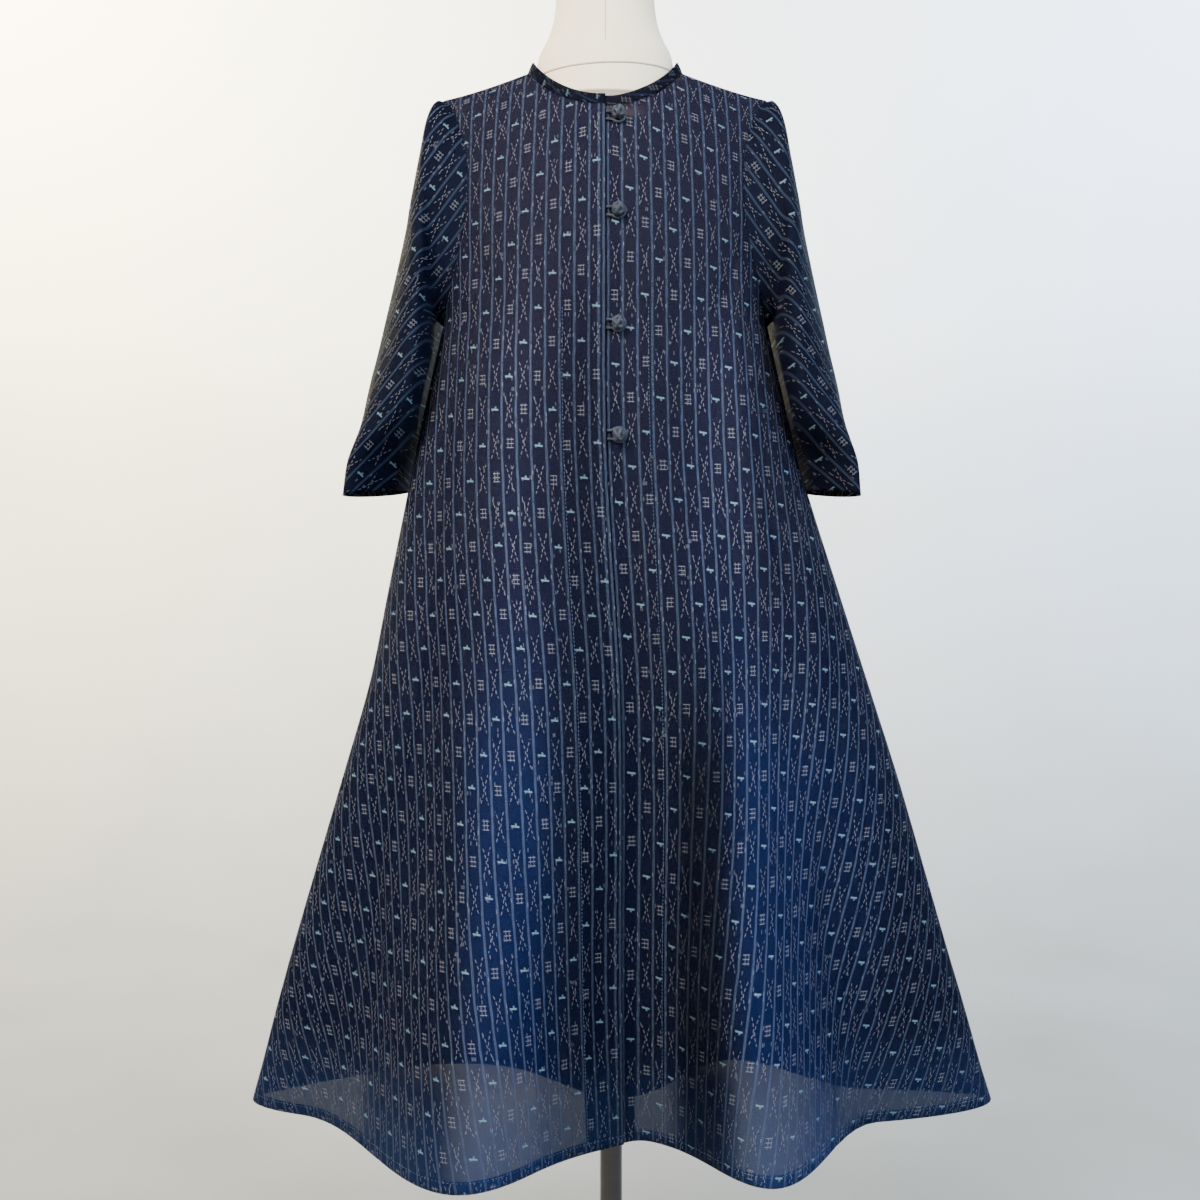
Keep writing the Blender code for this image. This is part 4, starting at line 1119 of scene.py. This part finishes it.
def armhole_loop(side, upper, lower):
    """Places of the armhole from the shoulder tip down its front and up its back."""
    down = []
    for back in (False, True):
        high = armhole_places(SEAM_TOP_ROW, len(ARMHOLE) - 1, upper, back)[::-1]
        low = armhole_places(SEAM_TOP_ROW, 0, lower, back)
        down.append(np.concatenate([high, low[1:]]))
    loop = np.concatenate([down[0], down[1][-2:0:-1]])
    loop[:, 0] *= side
    return loop


def sleeve_ring(number, side, count):
    ring = SLEEVE[number]
    outer_x = ring.outer_x - (LEFT_SLEEVE_NARROWER * (number / (len(SLEEVE) - 1)) ** 2 if side > 0 else 0.0)
    angle = 2 * math.pi * np.arange(count) / count
    share = (1 + np.cos(angle - math.radians(ring.lean))) / 2
    tucked = ring.tuck * np.maximum(0.0, -np.sin(angle)) ** TUCK_CURVE * (1 - np.cos(angle)) / 2
    middle = math.sin(math.pi * number / (len(SLEEVE) - 1)) ** 2
    at_back = np.maximum(0.0, -np.sin(angle)) ** 3
    tucked = tucked + BACK_TUCK * middle * at_back * (1 - np.cos(angle)) / 2
    x = ring.inner_x + (outer_x - ring.inner_x) * share - tucked
    y = ring.y - ring.half_y * np.sin(angle)
    z = ring.inner_z + (ring.outer_z - ring.inner_z) * share
    return np.stack([side * x, y, z], -1)


def tube_normals(points, side):
    around = np.roll(points, -1, axis=1) - np.roll(points, 1, axis=1)
    upward = np.gradient(points, axis=0)
    return unit(np.cross(around, upward)) * side


def tube_distances(points, axis):
    """Distances round a tube from its first column and back to it, square to its axis."""
    steps = np.diff(np.concatenate([points, points[:, :1]], axis=1), axis=1)
    steps = steps - (steps @ axis)[..., None] * axis
    return running(np.linalg.norm(steps, axis=2))


def sleeve_points(side):
    """Points of a sleeve, rows from the armhole to the cuff, its normals, and how far its creases lift it."""
    loop = armhole_loop(side, UPPER_STEPS, LOWER_STEPS)
    count = len(loop)
    edge, _ = cloth_grid(loop[None], np.full((1, count), SEAM_DIP * 1.5))
    rings = np.array([edge[0]] + [sleeve_ring(number, side, count) for number in range(len(SLEEVE))])
    points = catmull(rings, np.concatenate([[0, 0.03, 0.08], np.linspace(0.14, len(SLEEVE), 92)]))
    normals = tube_normals(points, side)
    axis = unit(points[-1, 0] - points[0, 0])
    around = tube_distances(points, axis)
    columns = np.arange(count)
    signed = np.where(columns <= count // 2, around[:, :-1], around[:, :-1] - around[:, -1:])
    below = (points - points[0, 0]) @ axis
    from_armhole = running(np.linalg.norm(np.diff(points, axis=0), axis=2).T).T
    raised = np.zeros(signed.shape)
    for crease in SLEEVE_CREASES:
        raised += crease_height((*crease[:4], 0.0, *crease[4:]), signed, below)
    return points, normals, raised * ease(from_armhole / SLEEVE_PLAIN)


def with_cuff(points, normals):
    """The points of a sleeve with the rows of its turned-up cuff after them."""
    folds = [points[-1] - normals[-1] * (LAYER / 2)]
    lengths = running(np.linalg.norm(np.diff(points, axis=0), axis=2).mean(axis=1))
    for back_off in (0.0015, CUFF_TURN / 2, CUFF_TURN):
        at = np.interp(lengths[-1] - back_off, lengths, np.arange(len(lengths)))
        low = int(at)
        folds.append(points[low] + (points[low + 1] - points[low]) * (at - low) - normals[low] * LAYER)
    return np.concatenate([points, np.array(folds)])


def sleeve_chart(grid, side, last):
    """The pattern's distances on a sleeve, cut open along its inner line.

    Depth counts for less than breadth, so that the stripes are nearly even as seen from in front, where the
    tube turns far away.
    """
    half = grid.shape[1] // 2
    axis = unit(last - grid[0, 0])
    inward = side * np.array([axis[2], 0.0, -axis[0]])
    closed = np.concatenate([grid, grid[:, :1]], axis=1)
    depth = running(np.abs(np.diff(closed[..., 1], axis=1)))
    before = SLEEVE_DEPTH_LIMIT * np.tanh(depth[:, : half + 1] / SLEEVE_DEPTH_LIMIT)
    behind = SLEEVE_DEPTH_LIMIT * np.tanh((depth[:, -1:] - depth[:, half:]) / SLEEVE_DEPTH_LIMIT)
    breadth = (closed - grid[0, 0]) @ inward
    front = breadth[:, : half + 1] + SLEEVE_DEPTH_SHARE * before
    back = 2 * breadth[:, :1] - breadth[:, half:] - SLEEVE_DEPTH_SHARE * behind
    around = np.concatenate([front, back], axis=1)
    below = (closed - grid[0, 0]) @ axis
    below = np.concatenate([below[:, : half + 1], below[:, half:]], axis=1)
    downs = np.array([row.down for row in SLEEVE_GRAIN])
    slopes = np.tan(np.radians([row.degrees for row in SLEEVE_GRAIN]))
    fine = np.linspace(downs[0], downs[-1], 101)
    drift = running(np.interp((fine[1:] + fine[:-1]) / 2, downs, slopes) * np.diff(fine))
    across = around + np.interp(below, fine, drift)
    down = below - around * math.tan(SLEEVE_TURN)
    return np.stack([SLEEVE_SHIFT[0] - side * across, SLEEVE_SHIFT[1] - down], -1)


def make_sleeves():
    for side, name in SIDES:
        points, normals, raised = sleeve_points(side)
        chart = sleeve_chart(with_cuff(points, normals), side, points[-1, 0])
        grid = with_cuff(points + normals * raised[..., None], normals)
        half = points.shape[1] // 2
        finish = GAUZES[f"sleeve {name}"]
        piece = surface_object(f"cloth_sleeve_{name}", grid, chart, finish, GAUZE, split=half, flip=side > 0)
        stand_in(piece, "gauze", f"sleeve_{name}")


def make_band():
    """One strip that starts under the right front, runs round the neck and ends at the right front's edge."""
    start = -math.asin(OVERLAP / NECK_HALF)
    angles = np.linspace(start, 2 * math.pi, 190)
    wrapped = np.where(angles > math.pi, angles - 2 * math.pi, angles)
    places = neck_places(wrapped)
    places[:, 1] = np.minimum(places[:, 1], RIDGE_LEVEL - 0.002)
    first = angles < 0
    places[first, 0] = -np.abs(places[first, 0])
    foot, normals = cloth_grid(places[None], np.zeros((1, len(places))))
    foot, normals = foot[0], normals[0]
    under = np.where(angles < QUARTER, lap_inset(places[:, 0], places[:, 1]), 0.0)
    foot = foot - normals * under[:, None]
    inward = unit(np.stack([-foot[:, 0], NECK_CENTRE_Y - foot[:, 1], np.zeros(len(foot))], -1))
    lean = unit(inward * BAND_LEAN + np.array([0.0, 0.0, 1.0]))
    foot = foot + unit(np.cross(normals, np.gradient(foot, axis=0))) * BAND_START
    along = distances_along(foot)
    outward = unit(np.cross(np.gradient(foot, axis=0), lean))
    rows, chart = [], []
    for share in np.linspace(0, 1, 11):
        puff = BAND_PUFF * math.sin(math.pi * share)
        rows.append(foot + lean * BAND_WIDTH * share + outward * puff)
        chart.append(np.stack([BAND_WIDTH * share + along * BAND_BIAS, along], -1))
    piece = surface_object("cloth_neck_band", np.array(rows), np.array(chart), doubled, 2 * DOUBLED)
    stand_in(piece, "doubled_gauze", "neck_band")


def on_left_front(across, height, out):
    """Points at a distance out from the face of the left front, and the cloth's normals there."""
    half = column_of(COAT, "half_width", np.minimum(height, ARMPIT_Z))
    above = on_cloth(across, height)
    turn = np.where(height <= ARMPIT_Z, np.arcsin(across / half), above[..., 0])
    level = np.where(height <= ARMPIT_Z, height, above[..., 1])
    normal = normal_of(bare_cloth, turn, level)
    away = CAD_CLOTH / 2 - lap_inset(turn, level) + out
    return bare_cloth(turn, level) + normal * away[..., None], normal


def tube(name, path, radius, finish, closed=False, sides=3):
    """A round cord along a path of points, as a closed mesh."""
    curve = bpy.data.curves.new(name, "CURVE")
    curve.dimensions = "3D"
    curve.bevel_depth = radius
    curve.bevel_resolution = sides
    curve.use_fill_caps = not closed
    line = curve.splines.new("POLY")
    line.points.add(len(path) - 1)
    for point, place in zip(line.points, path):
        point.co = (place[0] + BODY_X, place[1], place[2], 1.0)
    line.use_cyclic_u = closed
    holder = placed(name, curve)
    data = worked_out(holder)
    bpy.data.objects.remove(holder)
    mesh = bmesh.new()
    mesh.from_mesh(data)
    bpy.data.meshes.remove(data)
    bmesh.ops.remove_doubles(mesh, verts=mesh.verts, dist=1e-6)
    bmesh.ops.recalc_face_normals(mesh, faces=mesh.faces)
    return from_bmesh(name, mesh, finish)


def joined(name, pieces, finish):
    """Several pieces joined into one mesh."""
    mesh = bmesh.new()
    for piece in pieces:
        mesh.from_mesh(piece.data)
        bpy.data.objects.remove(piece)
    return from_bmesh(name, mesh, finish)


def make_knot(number, height):
    """A ball of rolled cord: a woven knot round a core."""
    centre, normal = on_left_front(np.array(KNOT_ACROSS), np.array(height), np.array(TOUCH + KNOT_RADIUS))
    angle = np.linspace(0, 2 * math.pi * KNOT_TURNS, 241)[:-1]
    weave = angle * KNOT_BIGHTS / KNOT_TURNS
    tilt = math.radians(70) * np.sin(weave)
    reach = KNOT_RADIUS - KNOT_CORD - 0.0004 + 0.0004 * np.cos(2 * weave + number)
    ball = np.stack([np.cos(tilt) * np.cos(angle), np.cos(tilt) * np.sin(angle), np.sin(tilt)], -1)
    facing = Vector(normal).to_track_quat("Y", "Z").to_matrix()
    turned = (ball * reach[:, None]) @ np.array(facing).T
    strand = tube("strand", centre + turned, KNOT_CORD, cord, closed=True)
    mesh = bmesh.new()
    bmesh.ops.create_icosphere(mesh, subdivisions=3, radius=KNOT_RADIUS - 2.1 * KNOT_CORD + 0.0012)
    bmesh.ops.translate(mesh, verts=mesh.verts, vec=Vector(centre) + Vector((BODY_X, 0, 0)))
    piece = joined(f"woven_knot_{number}", [strand, from_bmesh("core", mesh, cord)], cord)
    stand_in(piece, "cord", f"knot_{number}")


def make_loop(number, height):
    """A cord that leaves the right front's edge, passes round the foot of the knot and comes back."""
    path = [(LOOP_START, LOOP_HALF), (LOOP_START + 2 * LOOP_CORD, LOOP_HALF)]
    for angle in np.linspace(math.radians(LOOP_OPENING), math.radians(-LOOP_OPENING), 9):
        path.append((KNOT_ACROSS + LOOP_RADIUS * math.cos(angle), LOOP_RADIUS * math.sin(angle)))
    path += [(LOOP_START + 2 * LOOP_CORD, -LOOP_HALF), (LOOP_START, -LOOP_HALF)]
    fine = catmull(path, np.linspace(0, len(path) - 1, 90))
    points, _ = on_left_front(fine[:, 0], height + fine[:, 1], np.full(len(fine), TOUCH + LOOP_CORD))
    stand_in(tube(f"cord_loop_{number}", points, LOOP_CORD, cord), "cord", f"loop_{number}")


def form_points(turn, level):
    lift = np.maximum(0.0, level - ARMPIT_Z) / YOKE_SCALE
    height = np.minimum(level, ARMPIT_Z)
    rise = np.sin(lift)
    half = column_of(FORM, "half_width", height)
    half = half + np.where(lift > 0, (FORM_TIP - half) * np.maximum(rise, 0) ** 1.5, 0.0)
    x = half * np.sin(turn)
    depth = np.where(np.cos(turn) >= 0, column_of(FORM, "front", height), column_of(FORM, "back", height))
    y = column_of(FORM, "side_y", height) - depth * np.cos(turn) * np.maximum(np.cos(lift), 0.0) ** FORM_SLOPE
    middle = ARMHOLE[-1].across * (1 - FORM_RIDGE_SHARE)
    ridge = ridge_height(np.maximum(np.abs(x), middle))
    z = np.where(lift > 0, ARMPIT_Z + rise * (ridge - FORM_CLEARANCE - CAD_CLOTH / 2 - ARMPIT_Z), height)
    return np.stack([x, y, z], -1)


def closed_loft(name, rings, finish):
    """A solid through closed rings of points, with a fan at each end."""
    rings = rings + np.array([BODY_X, 0, 0])
    mesh = loft([[rings[0].mean(axis=0)], *rings, [rings[-1].mean(axis=0)]])
    bmesh.ops.recalc_face_normals(mesh, faces=mesh.faces)
    return from_bmesh(name, mesh, finish)


def neck_ring(height, turns):
    x = column_of(FORM_NECK, "half_x", height) * np.sin(turns)
    y = NECK_CENTRE_Y - column_of(FORM_NECK, "half_y", height) * np.cos(turns)
    return np.stack([x, y, np.full(turns.shape, height)], -1)


def make_form():
    """Torso and neck joined into one smooth form, with its seams as fine raised tapes."""
    turns = 2 * math.pi * np.arange(120) / 120
    above = np.radians(np.concatenate([np.linspace(2, 84, 48), [85.5, 86.7, 87.5]]))
    levels = np.concatenate([
        FORM_BOTTOM_Z + np.array([0, 0.001, 0.003, FORM_ROUNDING]),
        np.linspace(FORM_BOTTOM_Z + 2 * FORM_ROUNDING, ARMPIT_Z, 58),
        ARMPIT_Z + YOKE_SCALE * above,
    ])
    rounding = np.interp(levels, [FORM_BOTTOM_Z, FORM_BOTTOM_Z + FORM_ROUNDING], [0.965, 1.0])
    rings = form_points(turns[None, :], levels[:, None])
    rings[..., :2] *= rounding[:, None, None]
    torso = closed_loft("form_body", rings, jersey)
    heights = [*np.linspace(FORM_NECK[0].height, FORM_NECK_TOP_Z - 0.003, 50), FORM_NECK_TOP_Z]
    neck = closed_loft("neck_helper", np.array([neck_ring(height, turns) for height in heights]), jersey)
    union = torso.modifiers.new("Neck", "BOOLEAN")
    union.operation = "UNION"
    union.object = neck
    data = worked_out(torso)
    torso.modifiers.clear()
    torso.data = data
    data.shade_smooth()
    bpy.data.objects.remove(neck)
    stand_in(torso, "jersey", "form")
    seams = []
    levels = np.linspace(FORM_BOTTOM_Z + 0.01, 1.52, 160)
    heights = np.linspace(FORM_NECK[2].height, FORM_NECK_TOP_Z - 0.002, 60)
    for turn, out in ((0.0, 0.0001), (math.pi, -0.0001)):
        line = form_points(np.full(levels.shape, turn), levels)
        line[:, 1] += out
        line = line[line[:, 2] < FORM_NECK_SEAM_Z + 0.004]
        seams.append(tube("seam", line, SEAM_TAPE, tape, sides=2))
        line = np.array([neck_ring(height, np.array([turn]))[0] for height in heights])
        seams.append(tube("seam", line, SEAM_TAPE, tape, sides=2))
    turns = 2 * math.pi * np.arange(160) / 160
    ring = neck_ring(FORM_NECK_SEAM_Z, turns)
    ring[:, 2] += 0.003 * np.sin(turns)
    seams.append(tube("seam", ring, NECK_TAPE, tape, closed=True, sides=2))
    stand_in(joined("form_seams", seams, tape), "jersey")


def turned(name, profile, finish, node):
    """A turned solid from a profile of radius and height, with soft edges."""
    mesh = revolved(profile, 96)
    bmesh.ops.recalc_face_normals(mesh, faces=mesh.faces)
    piece = from_bmesh(name, mesh, finish)
    edges = piece.modifiers.new("Soft edges", "BEVEL")
    edges.width = 0.0012
    edges.segments = 3
    edges.limit_method = "ANGLE"
    edges.angle_limit = math.radians(25)
    stand_in(piece, node, node)


def make_stand():
    edge = 0.003
    low, high = BOSS_TOP_Z + TOUCH, FORM_BOTTOM_Z - TOUCH
    middle = (BOSS_TOP_Z + FORM_BOTTOM_Z) / 2
    turned("brushed_pole", [
        (0, low), (POLE_RADIUS, low), (POLE_RADIUS, middle), (POLE_RADIUS, high), (0, high),
    ], metal, "pole")
    turned("stand_base", [
        (0, 0.0), (BASE_RADIUS, 0.0), (BASE_RADIUS, BASE_THICK - 2 * edge),
        (BASE_RADIUS - edge, BASE_THICK - edge / 2), (BASE_RADIUS * 0.6, BASE_THICK - edge / 4),
        (BOSS_RADIUS + 3 * edge, BASE_THICK), (BOSS_RADIUS + 1.3 * edge, BASE_THICK + 0.6 * edge),
        (BOSS_RADIUS + 0.4 * edge, BASE_THICK + 2.2 * edge), (BOSS_RADIUS, BASE_THICK + 4 * edge),
        (BOSS_RADIUS, BOSS_TOP_Z - edge), (BOSS_RADIUS - edge, BOSS_TOP_Z), (0, BOSS_TOP_Z),
    ], enamel, "base")


def strip_along(places, width, inset):
    """Points of a narrow strip inside the cloth, in three rows, the middle one on a line of places."""
    points, normals = cloth_grid(places[None], np.full((1, len(places)), inset))
    points, normals = points[0], normals[0]
    across = unit(np.cross(normals, np.gradient(points, axis=0)))
    return np.array([points + across * width * share for share in (-0.5, 0.0, 0.5)])


def seam_line(side, back):
    """Places of the seam between a wide piece and its side piece, from above the hem to the armhole."""
    levels = np.linspace(ABOVE_HEM_Z, ARMPIT_Z, 150)
    line = np.stack([seam_turns(levels, side, back), levels], -1)
    hole = armhole_places(SEAM_TOP_ROW, 0, 4, back)
    hole[:, 0] *= side
    return np.concatenate([line, between(line[-1], hole[0], 12)[1:]])


def make_margins():
    """Seam margins inside the coat, seen through the gauze as darker lines beside each seam."""
    levels = np.linspace(ABOVE_HEM_Z, ARMPIT_Z - 0.004, 150)
    lines = {}
    for side, name in SIDES:
        lines[f"front_{name}"] = seam_line(side, False)
        lines[f"back_{name}"] = seam_line(side, True)
        lines[f"side_{name}"] = np.stack([np.full(levels.shape, side * QUARTER), levels], -1)
    up = np.linspace(ABOVE_HEM_Z, RIDGE_LEVEL, 220)
    middle = np.stack([np.full(up.shape, math.pi - 0.0005), up], -1)
    lines["centre_back"] = middle[up < neck_places(np.array([math.pi]))[0, 1] - 0.004]
    for name, places in lines.items():
        points = strip_along(places, 2 * MARGIN if name == "centre_back" else MARGIN, 1.7 * LAYER)
        along, across = np.meshgrid(distances_along(points[1]), MARGIN_SHIFT + np.arange(3) * MARGIN / 2)
        chart = np.stack([across, along], -1)
        stand_in(surface_object(f"margin_{name}", points, chart, doubled, GAUZE), "doubled_gauze")


def stitch_tree():
    """Stitches laid along a path: short rods at even steps, each turned a little by chance."""
    tree = bpy.data.node_groups.new("Stitches along a path", "GeometryNodeTree")
    face = tree.interface
    face.new_socket("Path", in_out="INPUT", socket_type="NodeSocketGeometry")
    sockets = {}
    for name, kind in (("Spacing", "Float"), ("Length", "Float"), ("Thread", "Float"), ("Seed", "Int")):
        sockets[name] = face.new_socket(name, in_out="INPUT", socket_type=f"NodeSocket{kind}").identifier
    face.new_socket("Stitches", in_out="OUTPUT", socket_type="NodeSocketGeometry")
    given, result, curve, resample, tangent, align, jitter, turn, rod, place, real, finish = (
        tree.nodes.new(kind) for kind in (
            "NodeGroupInput", "NodeGroupOutput", "GeometryNodeMeshToCurve", "GeometryNodeResampleCurve",
            "GeometryNodeInputTangent", "FunctionNodeAlignRotationToVector", "FunctionNodeRandomValue",
            "FunctionNodeRotateRotation", "GeometryNodeMeshCylinder", "GeometryNodeInstanceOnPoints",
            "GeometryNodeRealizeInstances", "GeometryNodeSetMaterial",
        )
    )
    resample.mode = "LENGTH"
    align.axis = "Z"
    jitter.data_type = "FLOAT_VECTOR"
    jitter.inputs["Min"].default_value = [-STITCH_TURN] * 3
    jitter.inputs["Max"].default_value = [STITCH_TURN] * 3
    rod.inputs["Vertices"].default_value = 6
    finish.inputs["Material"].default_value = thread
    for start, end in (
        (given.outputs["Path"], curve.inputs["Mesh"]),
        (curve.outputs["Curve"], resample.inputs["Curve"]),
        (given.outputs["Spacing"], resample.inputs["Length"]),
        (resample.outputs["Curve"], place.inputs["Points"]),
        (tangent.outputs[0], align.inputs["Vector"]),
        (given.outputs["Seed"], jitter.inputs["Seed"]),
        (align.outputs[0], turn.inputs["Rotation"]),
        (jitter.outputs[0], turn.inputs["Rotate By"]),
        (turn.outputs[0], place.inputs["Rotation"]),
        (given.outputs["Thread"], rod.inputs["Radius"]),
        (given.outputs["Length"], rod.inputs["Depth"]),
        (rod.outputs["Mesh"], place.inputs["Instance"]),
        (place.outputs[0], real.inputs[0]),
        (real.outputs[0], finish.inputs[0]),
        (finish.outputs[0], result.inputs[0]),
    ):
        tree.links.new(start, end)
    return tree, sockets


STITCH_TREE, STITCH_SOCKETS = stitch_tree()


def stitched(name, lines, spacing, length, radius, seed):
    """Stitches along some lines of points, as one mesh."""
    points, edges = [], []
    for line in lines:
        first = len(points)
        points += [(p[0] + BODY_X, p[1], p[2]) for p in line]
        edges += [(k, k + 1) for k in range(first, len(points) - 1)]
    data = bpy.data.meshes.new(name)
    data.from_pydata(points, edges, [])
    holder = link(data, None)
    work = holder.modifiers.new("Stitches", "NODES")
    work.node_group = STITCH_TREE
    for key, value in (("Spacing", spacing), ("Length", length), ("Thread", radius), ("Seed", seed)):
        work[STITCH_SOCKETS[key]] = value
    made = worked_out(holder)
    bpy.data.objects.remove(holder)
    made.name = name
    made.shade_smooth()
    stand_in(link(made, None), "cord")


def outer_line(places, out, inset):
    """Points just outside the cloth along a line of places."""
    return cloth_grid(places[None], (inset - out)[None])[0][0]


def make_stitches():
    """Hem and facing stitching, in thread a little lighter than the gauze."""
    out = GAUZE / 2 + 0.0001
    hems, fronts = [], []
    hem_levels = np.full(240, HEM_Z + HEM_TURN - 0.0015)
    levels = np.linspace(HEM_Z + HEM_TURN, ARMPIT_Z, 300)
    for side, _ in SIDES:
        for start in (0.0, math.pi):
            turns = side * np.linspace(start, QUARTER, len(hem_levels))
            places = np.stack([turns, hem_levels], -1)
            inset = np.zeros(len(places))
            if side > 0 and start == 0.0:
                places = places[turns > 0.004]
                inset = lap_inset(places[:, 0], places[:, 1])
            hems.append(outer_line(places, out, inset))
        turns = np.array([turns_at(level, [FACING_WIDTH - 0.0015], side)[0] for level in levels])
        inset = lap_inset(turns, levels) if side > 0 else np.zeros(len(levels))
        fronts.append(outer_line(np.stack([turns, levels], -1), out, inset))
    stitched("stitches_hem", hems, 0.0048, 0.0018, 0.00016, 3)
    stitched("stitches_facing", fronts, 0.0042, 0.0022, 0.00018, 5)


make_body()
make_facings()
make_pockets()
make_sleeves()
make_band()
for number, height in enumerate(KNOT_HEIGHTS, 1):
    make_knot(number, height)
    make_loop(number, height)
make_form()
make_stand()
make_margins()
make_stitches()

# The cut of each piece before it was sewn and hung: width at its widest, length, and flat area
Cut = namedtuple("Cut", "piece width length area rests_on margins")


def stage():
    """A round studio: pale floor, a soft cove and a wall all round, open at the top."""
    floor, cove, floor_z, steps = 2.2, 1.5, -0.0005, 24
    profile = [(0, floor_z), (floor, floor_z)]
    for angle in QUARTER * np.arange(1, steps + 1) / steps:
        profile.append((floor + cove * math.sin(angle), cove * (1 - math.cos(angle)) + floor_z))
    profile.append((floor + cove, 4.2))
    mesh = revolved(profile, 128)
    bmesh.ops.reverse_faces(mesh, faces=mesh.faces)
    finish = Finish("Pale plaster", Roughness=0.9)
    x, y, z = finish.place()
    clouds = finish.waves((2.6, 2.6, 2.6))
    # Painted light: the plaster turns from warm on the left to cool on the right, as if lit warm from the
    # left and cool from the right
    painted_side_light = (x / 3.4 + 0.5 + (clouds - 0.5) * 0.25).held()
    plaster = finish.mixed(painted_side_light, (0.86, 0.77, 0.55), (0.49, 0.59, 0.74))
    # Painted shade: the plaster darkens going down, to a dark grey on the floor
    raised = ((z + 0.25) / 2.1 + (clouds - 0.5) * 0.15).held()
    finish.set("Base Color", finish.mixed(raised, (0.150, 0.160, 0.165), plaster))
    from_bmesh("studio", mesh, finish.material)


def light(name, place, size, power, tint, aim):
    data = bpy.data.lights.new(name, "AREA")
    data.shape = "DISK"
    data.size = size
    data.energy = power
    data.color = tint
    lamp = placed(name, data)
    lamp.location = place
    lamp.rotation_euler = (Vector(aim) - Vector(place)).to_track_quat("-Z", "Y").to_euler()
    lamp.visible_camera = False


stage()
light("Window", (-1.4, -2.5, 3.2), 1.6, 300, (1.0, 0.95, 0.88), (0, 0, 1.40))
light("Sky", (2.1, -2.2, 2.4), 1.4, 120, (0.62, 0.80, 1.0), (0, 0, 1.0))
light("Wall left", (-1.7, 1.5, 3.5), 1.6, 520, (1.0, 0.94, 0.83), (-1.6, 3.6, 2.3))
light("Wall right", (1.9, 1.5, 3.3), 1.6, 230, (0.86, 0.93, 1.0), (1.7, 3.6, 1.9))
world = bpy.data.worlds.new("Studio")
bpy.context.scene.world = world
world.use_nodes = True
sky = world.node_tree.nodes["Background"].inputs
sky["Color"].default_value = (0.93, 0.95, 1.0, 1.0)
sky["Strength"].default_value = 0.25

camera_data = bpy.data.cameras.new("Camera")
camera_data.lens = CAMERA_LENS
camera = placed("Camera", camera_data)
camera.location = CAMERA_PLACE
camera.rotation_euler = (QUARTER, 0, 0)
bpy.context.scene.camera = camera
